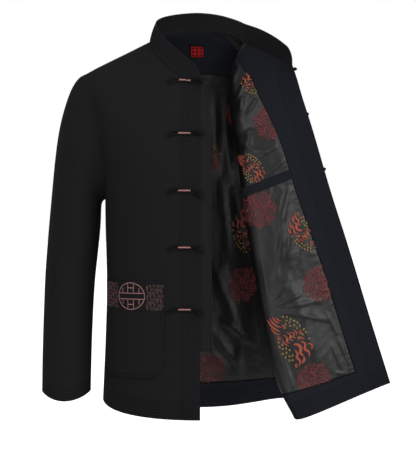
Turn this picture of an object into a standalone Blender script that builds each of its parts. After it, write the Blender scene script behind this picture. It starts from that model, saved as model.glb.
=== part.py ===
"""A lined tang jacket in black cloth, hollow as if worn, with its left front swung wide open.

Metres, +Z up. The wearer faces -Y, so the wearer's right is at -X. The origin is the centre of
the neck at the height of the shoulder neck points, where the wearer holds the jacket up.

Each panel is a grid of points. Its rows run from the seam that carries it (shoulder, armhole,
side) to its free or centre line, and its columns run from the neck seam down to the hem.
Whatever lies on a panel is made from the panel's own points, moved out or in.
"""

import math

import bpy
import numpy as np
from mathutils import Vector
from mathutils.bvhtree import BVHTree

# ---- driving sizes -------------------------------------------------------------------------
CLOTH = 0.0020  # wall of the outer cloth
THIN = 0.0010  # wall of the lining, facings and label
COLLAR_WALL = 0.0026
GAP = 0.0005  # between a piece and what it lies on
SEAM = 0.0005  # between two pieces along a seam
LINING_SEAM = 0.0030  # the same inside, where the walls turn towards each other
WALL_TURNED = {"neck": 0.0022, "tip": SEAM}  # a seam where the walls turn sharply, on the left
TURNED_SEAM = {"neck": 0.008, "tip": 0.009}  # the same inside
SLEEVE_SEAM = 0.0008
POCKET_GAP = 0.0006

HEM_FACING = 0.040
HEM_SHARE = 0.104  # of the side seam, which the last row of a panel spans: the hem facing
ROWS = {"shoulder": 4, "armhole": 8, "side": 9}  # rows of each panel, section by section
FRONT_COLUMNS = 13
BACK_COLUMNS = 11  # of each half
CROWDING = 1.45  # columns crowd towards the seams, where a panel turns most
FLAP_COLUMNS = {"to_fold": 7, "to_facing": 6, "facing": 5}

# Where each section of a panel starts, as a share of the way from neck seam to hem.
AT_TIP, AT_ARMPIT = 0.16, 0.44

# The right shoulder, armhole and side seam.
NECK_RIGHT = (-0.096, 0.012, 0.000)
TIP_RIGHT = (-0.226, 0.012, -0.060)
ARMPIT_RIGHT = (-0.182, 0.000, -0.297)
SIDE_RIGHT = ((-0.182, 0.000, -0.297), (-0.1785, 0.000, -0.440), (-0.182, 0.000, -0.560),
              (-0.188, 0.000, -0.680))
# The left ones: this shoulder is drawn back behind the open front.
NECK_LEFT = (0.078, 0.056, 0.008)
TIP_LEFT = (0.168, 0.115, -0.075)
ARMPIT_LEFT = (0.150, 0.040, -0.300)
SIDE_LEFT = ((0.150, 0.040, -0.300), (0.152, 0.020, -0.430), (0.165, 0.008, -0.560),
             (0.182, 0.000, -0.690))

# An armhole is an oval from the shoulder tip to the armpit, bowed in towards the body.
ARMHOLE_DEPTH = 0.067
FRONT_OF_RIGHT = (0.0, -1.0, 0.0)
FRONT_OF_LEFT = (0.35, -0.94, 0.0)
BOW_RIGHT = {"front": (0.020, 0.0, 0.0), "back": (0.014, 0.0, 0.0)}
BOW_LEFT = {"front": (-0.034, -0.006, 0.0), "back": (-0.006, -0.006, 0.0)}

# Rows of the right front. A row leaves its seam along `leave` and reaches the front edge at
# `edge`, coming from the side of `reach`.
FRONT_RIGHT = (
    # down  leave                      edge                        reach
    (0.00, (-0.004, -0.034, -0.016), (0.000, -0.058, -0.084), (-0.036, 0.002, 0.012)),
    (0.08, (-0.002, -0.042, -0.010), (0.000, -0.086, -0.106), (-0.066, 0.002, 0.008)),
    (0.16, (0.000, -0.050, -0.006), (0.000, -0.106, -0.134), (-0.088, 0.000, 0.004)),
    (0.30, (0.026, -0.052, -0.004), (0.000, -0.128, -0.210), (-0.100, 0.000, 0.000)),
    (0.44, (0.000, -0.080, 0.000), (0.000, -0.136, -0.306), (-0.112, 0.000, 0.000)),
    (0.72, (0.000, -0.080, 0.000), (0.000, -0.134, -0.500), (-0.112, 0.000, 0.000)),
    (1.00, (0.000, -0.080, -0.012), (0.000, -0.132, -0.698), (-0.112, 0.000, 0.000)),
)

# Rows of the back's two halves, from the side seams to the centre back.
BACK_RIGHT = (
    # down  leave                     centre                     reach
    (0.00, (0.004, 0.026, 0.012), (-0.006, 0.056, 0.026), (-0.038, 0.000, -0.001)),
    (0.08, (0.002, 0.040, 0.006), (-0.006, 0.084, -0.010), (-0.070, 0.000, 0.000)),
    (0.16, (0.000, 0.050, 0.004), (-0.005, 0.101, -0.052), (-0.095, 0.000, 0.000)),
    (0.30, (0.024, 0.050, 0.000), (-0.003, 0.118, -0.150), (-0.100, 0.000, 0.000)),
    (0.44, (0.000, 0.072, 0.000), (0.000, 0.123, -0.270), (-0.105, 0.000, 0.000)),
    (0.72, (0.000, 0.072, 0.000), (0.000, 0.120, -0.490), (-0.105, 0.000, 0.000)),
    (1.00, (0.000, 0.072, 0.000), (0.000, 0.120, -0.7255), (-0.105, 0.000, 0.000)),
)
BACK_LEFT = (
    # down  leave                     centre                     reach
    (0.00, (-0.028, 0.006, 0.009), (-0.006, 0.056, 0.026), (0.030, 0.000, 0.000)),
    (0.08, (0.004, 0.024, 0.004), (-0.006, 0.084, -0.010), (0.060, 0.000, 0.000)),
    (0.16, (0.010, 0.034, 0.000), (-0.005, 0.101, -0.052), (0.080, 0.006, 0.000)),
    (0.30, (-0.020, 0.030, 0.000), (-0.003, 0.118, -0.150), (0.070, 0.003, 0.000)),
    (0.44, (0.008, 0.046, 0.000), (0.000, 0.123, -0.270), (0.085, 0.000, 0.000)),
    (0.72, (0.002, 0.060, 0.000), (0.000, 0.120, -0.490), (0.095, 0.000, 0.000)),
    (1.00, (0.000, 0.072, 0.000), (0.000, 0.120, -0.7255), (0.105, 0.000, 0.000)),
)

# Rows of the open left front: off its seam along `leave`, round a fold at `fold` (passed
# along `turn`), and out to the front edge, reached from the side of `reach`.
FRONT_LEFT = (
    # down  leave                    fold                      turn
    (0.00, (0.004, -0.001, -0.002), (0.087, 0.0535, 0.003), (0.012, -0.004, -0.005)),
    (0.06, (-0.004, -0.018, -0.006), (0.068, 0.038, -0.034), (0.003, -0.018, -0.006)),
    (0.16, (-0.014, -0.042, -0.002), (0.059, 0.004, -0.092), (0.000, -0.026, -0.002)),
    (0.30, (-0.016, -0.026, 0.000), (0.070, -0.040, -0.190), (0.000, -0.028, 0.000)),
    (0.44, (0.002, -0.044, 0.000), (0.085, -0.052, -0.300), (0.000, -0.030, 0.000)),
    (0.63, (0.002, -0.040, 0.000), (0.106, -0.058, -0.434), (0.000, -0.032, 0.000)),
    (0.82, (0.000, -0.036, 0.000), (0.132, -0.066, -0.566), (0.004, -0.030, 0.000)),
    (0.93, (0.003, -0.036, 0.000), (0.154, -0.078, -0.650), (0.008, -0.022, -0.001)),
    (1.00, (0.005, -0.036, -0.004), (0.184, -0.092, -0.704), (0.010, -0.012, -0.001)),
)
LEFT_EDGE = (
    # down  edge                      reach                     width of the facing
    (0.00, (0.173, -0.050, -0.042), (-0.018, 0.030, 0.010), 0.130),
    (0.06, (0.180, -0.050, -0.064), (-0.040, 0.014, 0.006), 0.105),
    (0.16, (0.190, -0.048, -0.099), (-0.050, -0.004, -0.002), 0.081),
    (0.30, (0.213, -0.042, -0.169), (-0.055, -0.010, -0.004), 0.067),
    (0.44, (0.244, -0.036, -0.272), (-0.060, -0.012, -0.008), 0.065),
    (0.63, (0.285, -0.031, -0.397), (-0.065, -0.014, -0.012), 0.061),
    (0.82, (0.325, -0.028, -0.526), (-0.070, -0.018, -0.018), 0.060),
    (1.00, (0.364, -0.025, -0.648), (-0.070, -0.022, -0.022), 0.060),
)

# Rings of the sleeves: the outer and the inner point of each, and half its depth.
SLEEVE_RIGHT = (
    # outer                    inner                      half depth
    ((-0.250, 0.008, -0.096), (-0.189, 0.004, -0.305), 0.069),
    ((-0.265, 0.008, -0.147), (-0.190, 0.004, -0.322), 0.068),
    ((-0.275, 0.007, -0.204), (-0.191, 0.004, -0.345), 0.066),
    ((-0.285, 0.004, -0.299), (-0.195, 0.002, -0.388), 0.062),
    ((-0.296, 0.000, -0.421), (-0.202, 0.000, -0.452), 0.057),
    ((-0.300, -0.004, -0.500), (-0.206, -0.004, -0.516), 0.055),
    ((-0.303, -0.008, -0.583), (-0.209, -0.008, -0.590), 0.053),
    ((-0.305, -0.010, -0.664), (-0.211, -0.010, -0.665), 0.052),
)
SLEEVE_LEFT = (
    # outer                    inner                      half depth
    ((0.185, 0.118, -0.106), (0.158, 0.048, -0.310), 0.066),
    ((0.198, 0.121, -0.150), (0.163, 0.056, -0.327), 0.064),
    ((0.210, 0.122, -0.206), (0.167, 0.068, -0.351), 0.061),
    ((0.229, 0.120, -0.300), (0.170, 0.086, -0.392), 0.057),
    ((0.241, 0.118, -0.421), (0.168, 0.100, -0.454), 0.054),
    ((0.246, 0.116, -0.500), (0.168, 0.106, -0.517), 0.052),
    ((0.249, 0.112, -0.583), (0.168, 0.108, -0.590), 0.051),
    ((0.251, 0.108, -0.664), (0.169, 0.108, -0.665), 0.050),
)
CUFF_DIP = 0.012  # the front of a cuff hangs this much lower than its sides
SLEEVE_START = {"right": (-0.0055, 0.0, -0.0025), "left": (0.0042, 0.0026, -0.0036)}

# The collar stands on the neck seam: its height, how far its top leans in, and how far its
# base clears the seam, round the neck.
COLLAR = (
    # round  height  lean   lift
    (0.00, 0.038, 0.004, 0.0004),
    (0.12, 0.044, 0.007, 0.0004),
    (0.30, 0.040, 0.012, 0.0004),
    (0.48, 0.034, 0.012, 0.0004),
    (0.62, 0.033, 0.006, 0.0010),
    (0.80, 0.036, -0.006, 0.0012),
    (0.90, 0.034, -0.003, 0.0012),
    (1.00, 0.026, 0.000, 0.0012),
)
COLLAR_COLUMNS = 36
COLLAR_ROWS = 3
COLLAR_CORNER = 0.019  # radius of its front corners

UNDER_PLACKET = {"top": -0.088, "bottom": -0.569, "behind": 0.030, "past_top": 0.016,
                 "past_bottom": 0.023}
YOKE = {"columns": 4, "rows": 4}  # columns to each side of the centre back, rows down
LABEL = {"half_width": 0.014, "top": 0.004, "bottom": -0.022}
WELT = {"inner": -0.272, "outer": -0.238, "height": 0.017}
POCKET = {"near": 0.0645, "far": 0.222, "far_drop": 0.008, "band_top": -0.438,
          "band_bottom": -0.496, "bottom": -0.622, "corner": 0.036}
LEFT_POCKET_RISE = 0.030  # rows of the open front slope, so its pocket is set this much higher

# The frogs lie square to the front edges; a height is where one meets its edge.
FROG_HEIGHTS = (-0.071, -0.168, -0.272, -0.376, -0.491)
KNOT_DROPS = (0.000, 0.000, 0.007, 0.003, 0.006)
LOOP_HEIGHTS = (-0.050, -0.134, -0.238, -0.338, -0.446)
LOOPS_SHOWING = 3  # the others are turned in behind the edge
LOOP_OUT, LOOP_IN = 0.0055, -0.004
CORD_RADIUS = 0.0014
CORD_LIFT, BEHIND_LIFT = 0.0005, 0.0008  # clear of the cloth below it
FROG_LINE = (
    # from the edge, from the middle line
    (0.0040, 0.0017),
    (0.0160, 0.0035),
    (0.0300, 0.0035),
    (0.0450, 0.0035),
    (0.0545, 0.0038),
    (0.0590, 0.0020),
)
KNOT_REACH = 0.015  # a knot's drop draws the cord down this far in
TAIL_DROOP, DROOP_START = 0.006, 0.044
BAR = {"start": 0.0195, "end": 0.0435, "radius": 0.0016}
KNOT_RADIUS, KNOT_OUT, KNOT_HEIGHT = 0.0060, 0.0031, 0.0056

BLACK = (0.018, 0.018, 0.021)
INSIDE_BLACK = (0.014, 0.016, 0.024)
SATIN = (0.010, 0.010, 0.011)
COPPER = (0.72, 0.36, 0.32)
RED = (0.65, 0.03, 0.03)


# ---- curves and grids ----------------------------------------------------------------------
def smooth(table, at):
    """Values read from a table's rows (first column the key) along one smooth curve."""
    keys = np.array([row[0] for row in table], float)
    values = np.array([np.ravel(row[1]) for row in table], float)
    slopes = np.gradient(values, keys, axis=0)
    at = float(np.clip(at, keys[0], keys[-1]))
    i = int(np.clip(np.searchsorted(keys, at, side="right") - 1, 0, len(keys) - 2))
    span = keys[i + 1] - keys[i]
    t = (at - keys[i]) / span
    return (values[i] * (1 + 2 * t) * (1 - t) ** 2 + slopes[i] * span * t * (1 - t) ** 2
            + values[i + 1] * t * t * (3 - 2 * t) + slopes[i + 1] * span * t * t * (t - 1))


def column(table, k):
    """A table's key with one of its other columns."""
    return [(row[0], row[k]) for row in table]


def through(points, share):
    """The place at a share of the way along a smooth curve through points."""
    keys = np.linspace(0, 1, len(points))
    return smooth(list(zip(keys, points)), share)


def bezier(start, leave, reach, end, at):
    """The points at shares `at` of a cubic that leaves start along `leave` and comes to end
    from the side of `reach`."""
    t = np.array(at)[:, None]
    a, d = np.array(start), np.array(end)
    b, c = a + leave, d + reach
    return a * (1 - t) ** 3 + 3 * b * t * (1 - t) ** 2 + 3 * c * t * t * (1 - t) + d * t ** 3


def armhole(tip, armpit, front, bow, turn):
    """A point of an armhole: turn is 0 at the shoulder tip, pi at the armpit."""
    tip, armpit, front = np.array(tip), np.array(armpit), np.array(front)
    side = math.sin(turn)
    pull = np.array(bow["front"] if side > 0 else bow["back"])
    middle = (tip + armpit) / 2
    return middle + math.cos(turn) * (tip - armpit) / 2 + side * ARMHOLE_DEPTH * front \
        + side * side * pull


def stations():
    """The share of the way down of each row of a panel, with its section and place in it.
    The last row but one lies along the top of the hem facing."""
    out = [(AT_TIP * share, "shoulder", share)
           for share in np.linspace(0, 1, ROWS["shoulder"] + 1)[:-1]]
    out += [(AT_TIP + (AT_ARMPIT - AT_TIP) * share, "armhole", share)
            for share in np.linspace(0, 1, ROWS["armhole"] + 1)[:-1]]
    out += [(AT_ARMPIT + (1 - AT_ARMPIT) * share, "side", share)
            for share in (*np.linspace(0, 1 - HEM_SHARE, ROWS["side"]), 1.0)]
    return out


def seam_point(neck, tip, armpit, side, front, bow, section, share, way):
    """A point of the line that carries a panel; way is 1 for a front and -1 for the back."""
    if section == "shoulder":
        return np.array(neck) * (1 - share) + np.array(tip) * share
    if section == "armhole":
        return armhole(tip, armpit, front, bow, way * math.pi * share)
    return through(side, share)


RIGHT_SEAMS = (NECK_RIGHT, TIP_RIGHT, ARMPIT_RIGHT, SIDE_RIGHT, FRONT_OF_RIGHT, BOW_RIGHT)
LEFT_SEAMS = (NECK_LEFT, TIP_LEFT, ARMPIT_LEFT, SIDE_LEFT, FRONT_OF_LEFT, BOW_LEFT)


def way_out(points, flip):
    """At each point of a grid, the vector that moves its faces out by one."""
    rows, cols = points.shape[:2]
    p = points
    total, weights, stretch = np.zeros_like(p), np.zeros((rows, cols)), np.zeros((rows, cols))
    face = np.cross(p[1:, 1:] - p[:-1, :-1], p[:-1, 1:] - p[1:, :-1])
    face /= np.linalg.norm(face, axis=2, keepdims=True)
    corners = []
    for r, c in ((0, 0), (1, 0), (1, 1), (0, 1)):
        here = p[r:rows - 1 + r, c:cols - 1 + c]
        down = p[1 - r:rows - r, c:cols - 1 + c] - here
        across = p[r:rows - 1 + r, 1 - c:cols - c] - here
        cosine = (down * across).sum(2) / np.linalg.norm(down, axis=2) \
            / np.linalg.norm(across, axis=2)
        angle = np.arccos(np.clip(cosine, -1, 1))
        corners.append((r, c, angle))
        total[r:rows - 1 + r, c:cols - 1 + c] += face * angle[..., None]
    normals = total / np.linalg.norm(total, axis=2, keepdims=True)
    for r, c, angle in corners:
        there = (slice(r, rows - 1 + r), slice(c, cols - 1 + c))
        stretch[there] += angle / np.clip((face * normals[there]).sum(2), 0.5, 1)
        weights[there] += angle
    return normals * (stretch / weights)[..., None] * (-1 if flip else 1)


class Surface:
    """A grid of points with the direction that leads out of the garment at each."""

    def __init__(self, points, flip):
        self.points, self.flip = np.array(points), flip
        self.normals = way_out(self.points, flip)
        self.rows, self.columns = self.points.shape[0] - 1, self.points.shape[1] - 1

    def at(self, row, col, out=0.0):
        """The point at a row and column, whole or not, moved out."""
        moved = self.points + self.normals * out
        r, c = int(min(max(row, 0), self.rows - 1e-9)), int(min(max(col, 0), self.columns - 1e-9))
        s, t = row - r, col - c
        return ((1 - s) * (1 - t) * moved[r, c] + (1 - s) * t * moved[r, c + 1]
                + s * (1 - t) * moved[r + 1, c] + s * t * moved[r + 1, c + 1])

    def column_at(self, row, length, from_end=False):
        """The column that lies a length along the row from its start, or from its end."""
        line = np.array([self.at(row, c) for c in range(self.columns + 1)])
        if from_end:
            line = line[::-1]
        along = np.concatenate([[0], np.cumsum(np.linalg.norm(np.diff(line, axis=0), axis=1))])
        place = float(np.interp(length, along, np.arange(self.columns + 1)))
        return self.columns - place if from_end else place

    def row_at(self, col, height):
        """The row at which a column passes a height."""
        line = np.array([self.at(r, col)[2] for r in range(self.rows + 1)])
        return float(np.interp(-height, -line, np.arange(self.rows + 1)))


def with_whole(low, high, more=()):
    """low, high, the whole numbers well between them, and any more places there."""
    whole = [k for k in range(math.ceil(low), math.floor(high) + 1)
             if low + 0.12 < k < high - 0.12]
    return [low, *sorted({*whole, *more}), high]


def part_of(surface, rows, cols, out):
    """The piece of a surface between rows and columns; cols may be a function of the row."""
    grid = []
    for r in rows:
        places = cols(r) if callable(cols) else cols
        grid.append([surface.at(r, c, out) for c in places])
    return np.array(grid)


# ---- objects -------------------------------------------------------------------------------
def material(name, colour, roughness=0.8, metallic=0.0):
    made = bpy.data.materials.new(name)
    made.use_nodes = True
    shader = made.node_tree.nodes["Principled BSDF"]
    shader.inputs["Base Color"].default_value = (*colour, 1.0)
    shader.inputs["Roughness"].default_value = roughness
    shader.inputs["Metallic"].default_value = metallic
    return made


def link(name, data, colour, roughness):
    made = bpy.data.objects.new(name, data)
    data.materials.append(material(name, colour, roughness))
    JACKET.objects.link(made)
    return made


def cloth(name, grid, wall, colour, flip=False, closed=False, skip=(), roughness=0.8):
    """A cloth piece: the open surface through a grid of points, given its wall inwards."""
    rows, cols = grid.shape[:2]
    faces = []
    for r in range(rows - 1):
        for c in range(cols if closed else cols - 1):
            if (r, c) in skip:
                continue
            d = (c + 1) % cols
            face = (r * cols + c, (r + 1) * cols + c, (r + 1) * cols + d, r * cols + d)
            faces.append(face[::-1] if flip else face)
    used = sorted({v for face in faces for v in face})
    index = {v: k for k, v in enumerate(used)}
    flat = grid.reshape(-1, 3)
    mesh = bpy.data.meshes.new(name)
    mesh.from_pydata([flat[v] for v in used], [], [[index[v] for v in f] for f in faces])
    mesh.shade_smooth()
    made = link(name, mesh, colour, roughness)
    solidify = made.modifiers.new("wall", "SOLIDIFY")
    solidify.thickness = wall
    solidify.offset = -1
    solidify.use_even_offset = True
    return made


def cord(name, line, radius, colour, sides=2):
    """A cord along a line of points, with closed ends."""
    curve = bpy.data.curves.new(name, "CURVE")
    curve.dimensions = "3D"
    curve.bevel_depth = radius
    curve.bevel_resolution = sides
    curve.use_fill_caps = True
    spline = curve.splines.new("POLY")
    spline.points.add(len(line) - 1)
    for point, place in zip(spline.points, line):
        point.co = (*place, 1.0)
    return link(name, curve, colour, 0.6)


# ---- panels --------------------------------------------------------------------------------
def panel_rows(table, seams, way, columns, opposite=None):
    """Grid of a panel whose rows go from its seam to its centre line. Along the shoulder and
    the side, a row leaves its seam straight on from the row of the opposite panel."""
    at = np.linspace(0, 1, columns + 1) ** CROWDING
    grid = []
    for down, section, share in stations():
        start = seam_point(*seams, section, share, way)
        leave, end, reach = (smooth(column(table, k), down) for k in (1, 2, 3))
        if opposite and section != "armhole":
            ahead = smooth(column(opposite, 1), down)
            leave = -ahead / np.linalg.norm(ahead) * np.linalg.norm(leave)
        grid.append(bezier(start, leave, reach, end, at))
    return np.array(grid)


def share_from_end(start, leave, reach, end, length):
    """The share of a cubic at which a length of it is left, at most nine tenths of it."""
    at = np.linspace(0, 1, 65)
    line = bezier(start, leave, reach, end, at)[::-1]
    along = np.concatenate([[0], np.cumsum(np.linalg.norm(np.diff(line, axis=0), axis=1))])
    return 1 - float(np.interp(min(length, 0.9 * along[-1]), along, at))


def flap_rows():
    """Grid of the open left front, whose rows turn back round a fold. The facing's inner
    edge is one of its columns."""
    steps = FLAP_COLUMNS
    grid = []
    for down, section, share in stations():
        start = seam_point(*LEFT_SEAMS, section, share, 1)
        leave, fold, turn = (smooth(column(FRONT_LEFT, k), down) for k in (1, 2, 3))
        edge, reach, width = (smooth(column(LEFT_EDGE, k), down) for k in (1, 2, 3))
        middle = share_from_end(fold, turn, reach, edge, float(width[0]))
        at = np.concatenate([np.linspace(0, middle, steps["to_facing"] + 1)[:-1],
                             np.linspace(middle, 1, steps["facing"] + 1)])
        back = min(1.0, 0.45 * np.linalg.norm(fold - start) / np.linalg.norm(turn))
        to_fold = bezier(start, leave, -turn * back, fold,
                         np.linspace(0, 1, steps["to_fold"] + 1) ** CROWDING)
        grid.append(np.concatenate([to_fold[:-1], bezier(fold, turn, reach, edge, at)]))
    return np.array(grid)


def half_seam(row, seam, turned, left):
    """Half the gap along a seam at a row. On the left it is wider where the walls turn towards
    each other, at the neck point and at the tip of the shoulder."""
    if not left:
        return seam / 2
    neck = max(0.0, 1 - row / 1.5)
    tip = max(0.0, 1 - abs(row - ROWS["shoulder"] - 0.5) / 1.6)
    return (seam + (turned["neck"] - seam) * neck + (turned["tip"] - seam) * tip) / 2


def kept_rising(places, step=0.06):
    """The places with each at least a step past the one before."""
    for k in range(1, len(places)):
        places[k] = max(places[k], places[k - 1] + step)
    return places


def trimmed(surface, ends, seam=SEAM, turned=WALL_TURNED):
    """Rows and columns of the whole surface, drawn in by half a seam at the named ends."""
    rows = [float(r) for r in range(surface.rows + 1)]
    if "top" in ends:
        rows[0] += seam / 2 / np.linalg.norm(surface.points[1, 0] - surface.points[0, 0])
    left = "end" in ends or "left" in ends

    def cols(row):
        places = [float(c) for c in range(surface.columns + 1)]
        if "start" in ends:
            places[0] = surface.column_at(row, half_seam(row, seam, turned, "left" in ends))
            kept_rising(places)
        if "end" in ends:
            places[-1] = surface.column_at(row, half_seam(row, seam, turned, left), from_end=True)
            places = [-c for c in kept_rising([-c for c in places[::-1]])][::-1]
        return places

    return rows, cols


def make_panels():
    right = Surface(panel_rows(FRONT_RIGHT, RIGHT_SEAMS, 1, FRONT_COLUMNS), flip=False)
    half_right = panel_rows(BACK_RIGHT, RIGHT_SEAMS, -1, BACK_COLUMNS, FRONT_RIGHT)
    half_left = panel_rows(BACK_LEFT, LEFT_SEAMS, -1, BACK_COLUMNS, FRONT_LEFT)
    back = Surface(np.concatenate([half_right, half_left[:, -2::-1]], axis=1), flip=True)
    left = Surface(flap_rows(), flip=True)
    cloth("front_right", part_of(right, *trimmed(right, {"top", "start"}), 0), CLOTH, BLACK)
    cloth("back", part_of(back, *trimmed(back, {"top", "start", "end"}), 0), CLOTH, BLACK,
          flip=True)
    cloth("front_left", part_of(left, *trimmed(left, {"top", "start", "left"}), 0), CLOTH, BLACK,
          flip=True)
    return right, back, left


def sleeve_ring(outer, inner, depth, front, dip, turns):
    """An oval ring of a sleeve; its front hangs lower by the dip."""
    outer, inner = np.array(outer), np.array(inner)
    front = np.array(front) / np.linalg.norm(front)
    return [(outer + inner) / 2 + math.cos(t) * (outer - inner) / 2
            + math.sin(t) * depth * front
            - np.array((0.0, 0.0, dip * max(0.0, math.sin(t)) ** 2)) for t in turns]


def make_sleeve(name, table, seams, start, flip):
    """A sleeve from its armhole to its cuff, as rings whose turn starts at the shoulder tip."""
    _, tip, armpit, _, front, bow = seams
    around = 2 * ROWS["armhole"]
    turns = [2 * math.pi * k / around for k in range(around)]
    seam_ring = np.array([armhole(tip, armpit, front, bow, t if t < math.pi else t - 2 * math.pi)
                          for t in turns])
    away = np.array(start)
    grid = [seam_ring + away * (SLEEVE_SEAM / np.linalg.norm(away)), seam_ring + away]
    last = len(table) - 1
    for k in np.arange(0, last + 0.25, 0.5):
        outer, inner, depth = (smooth([(j, row[i]) for j, row in enumerate(table)], k)
                               for i in (0, 1, 2))
        share = k / last
        forward = np.array(front) * (1 - share) + np.array(FRONT_OF_RIGHT) * share
        grid.append(sleeve_ring(outer, inner, float(depth[0]), forward, CUFF_DIP * share ** 2,
                                turns))
    cloth(name, np.array(grid), CLOTH, BLACK, flip=flip, closed=True)


# ---- collar --------------------------------------------------------------------------------
def neck_seam(right, back, left):
    """The neck seam from the right front edge, round the back, to the left front edge, with
    the length of the seam at each point."""
    line = np.concatenate([right.points[0, ::-1], back.points[0, 1:], left.points[0, 1:]])
    along = np.concatenate([[0], np.cumsum(np.linalg.norm(np.diff(line, axis=0), axis=1))])
    corner = COLLAR_CORNER * np.array((0, 0.25, 0.62, 1))
    middle = np.linspace(corner[-1], along[-1] - corner[-1], COLLAR_COLUMNS - 5)
    at = np.concatenate([corner, middle[1:-1], along[-1] - corner[::-1]])
    return np.stack([np.interp(at, along, line[:, k]) for k in range(3)], axis=1), at


def make_collar(right, back, left):
    base, at = neck_seam(right, back, left)
    ahead = np.gradient(base, axis=0)
    inward = np.cross((0.0, 0.0, 1.0), -ahead)
    inward /= np.linalg.norm(inward, axis=1, keepdims=True)
    grid = np.zeros((COLLAR_ROWS + 1, len(base), 3))
    for c, place in enumerate(at):
        height, lean, lift = smooth([(row[0], row[1:]) for row in COLLAR], place / at[-1])
        from_end = min(place, at[-1] - place)
        short = 0.0
        if from_end < COLLAR_CORNER:
            short = COLLAR_CORNER - math.sqrt(COLLAR_CORNER ** 2 - (COLLAR_CORNER - from_end) ** 2)
        for r in range(COLLAR_ROWS + 1):
            up = (1 - r / COLLAR_ROWS) * (height - short - lift) + lift
            grid[r, c] = base[c] + np.array((0, 0, up)) + inward[c] * lean * (up / height) ** 1.6
    cloth("collar", grid, COLLAR_WALL, BLACK, flip=True)


# ---- inside --------------------------------------------------------------------------------
UNDER = -(CLOTH + GAP)  # what lies against the inside of the outer cloth
OVER_LINING = UNDER - THIN - GAP  # what lies on the lining


def make_back_inside(back):
    centre = back.columns // 2
    half = SEAM / 2 / HEM_FACING  # in rows, which are about as long as the hem facing
    hem = back.rows - 1
    rows, cols = trimmed(back, {"top", "start", "end"}, LINING_SEAM, TURNED_SEAM)
    above = [r for r in rows if r < hem - 0.3] + [hem - half]
    below = [hem + half] + [r for r in rows if r > hem + 0.3]
    wide, tall = YOKE["columns"], YOKE["rows"]
    notch = {(r, centre + c) for r in range(tall) for c in range(-wide, wide)}
    cloth("lining_back", part_of(back, above, cols, UNDER), THIN, SATIN, flip=True, skip=notch,
          roughness=0.35)
    cloth("hem_facing_back", part_of(back, below, cols, UNDER), THIN, INSIDE_BLACK, flip=True)
    inset = 0.03
    yoke_cols = with_whole(centre - wide + inset, centre + wide - inset)
    yoke_rows = with_whole(rows[0], tall - inset)
    cloth("yoke_facing", part_of(back, yoke_rows, yoke_cols, UNDER), THIN, INSIDE_BLACK, flip=True)
    label_row = back.row_at(centre, LABEL["top"])
    across = LABEL["half_width"] / np.linalg.norm(back.at(label_row, centre + 1)
                                                  - back.at(label_row, centre))
    label_rows = with_whole(label_row, back.row_at(centre, LABEL["bottom"]))
    cloth("label", part_of(back, label_rows, [centre - across, centre, centre + across],
                           OVER_LINING), THIN, RED, flip=True)


def make_left_inside(left):
    fold = FLAP_COLUMNS["to_fold"]
    edge_of_facing = fold + FLAP_COLUMNS["to_facing"]
    hem = left.rows - 1
    half_row, half_col = SEAM / 2 / HEM_FACING, SEAM / 2 / 0.015
    rows, _ = trimmed(left, {"top"}, LINING_SEAM)
    facing_cols = with_whole(edge_of_facing + half_col, float(left.columns))

    def lining_cols(row):
        start = left.column_at(row, half_seam(row, LINING_SEAM, TURNED_SEAM, True))
        return kept_rising([start, *range(1, edge_of_facing), edge_of_facing - half_col])

    above = [r for r in rows if r < hem - 0.3] + [hem - half_row]
    below = [hem + half_row] + [r for r in rows if r > hem + 0.3]
    cloth("facing_left", part_of(left, rows, facing_cols, UNDER), THIN, INSIDE_BLACK, flip=True)
    neck_point = {(0, c) for c in range(fold)}  # the sharp turn here is left bare
    cloth("lining_left", part_of(left, above, lining_cols, UNDER), THIN, SATIN, flip=True,
          skip=neck_point, roughness=0.35)
    cloth("hem_facing_left", part_of(left, below, lining_cols, UNDER), THIN, INSIDE_BLACK,
          flip=True)
    # The welt slopes up from the fold to the facing.
    cols = with_whole(fold + 0.3, edge_of_facing - 2 * half_col)
    ends = [left.row_at(cols[0], WELT["inner"]), left.row_at(cols[-1], WELT["outer"])]
    tall = WELT["height"] / np.linalg.norm(left.at(ends[0], fold) - left.at(ends[0] + 1, fold))
    grid = []
    for step in (0.0, 0.5, 1.0):
        line = [np.interp(c, (cols[0], cols[-1]), ends) + step * tall for c in cols]
        grid.append([left.at(r, c, OVER_LINING) for r, c in zip(line, cols)])
    cloth("inner_pocket_welt", np.array(grid), THIN, INSIDE_BLACK, flip=True)


def make_under_placket(right):
    """The strip behind the right front edge, on to which the left front would close."""
    sizes = UNDER_PLACKET
    first, last = (right.row_at(right.columns, sizes[end]) for end in ("top", "bottom"))
    grid = []
    for row in with_whole(first, last):
        share = (row - first) / (last - first)
        past = sizes["past_top"] * (1 - share) + sizes["past_bottom"] * share
        inner = right.column_at(row, sizes["behind"], from_end=True)
        cols = with_whole(inner, float(right.columns))
        line = [right.at(row, c, UNDER) for c in cols]
        grid.append([line[0], line[-1], line[-1] + np.array((past, 0.0, 0.0))])
    cloth("under_placket", np.array(grid), CLOTH, BLACK)


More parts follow.
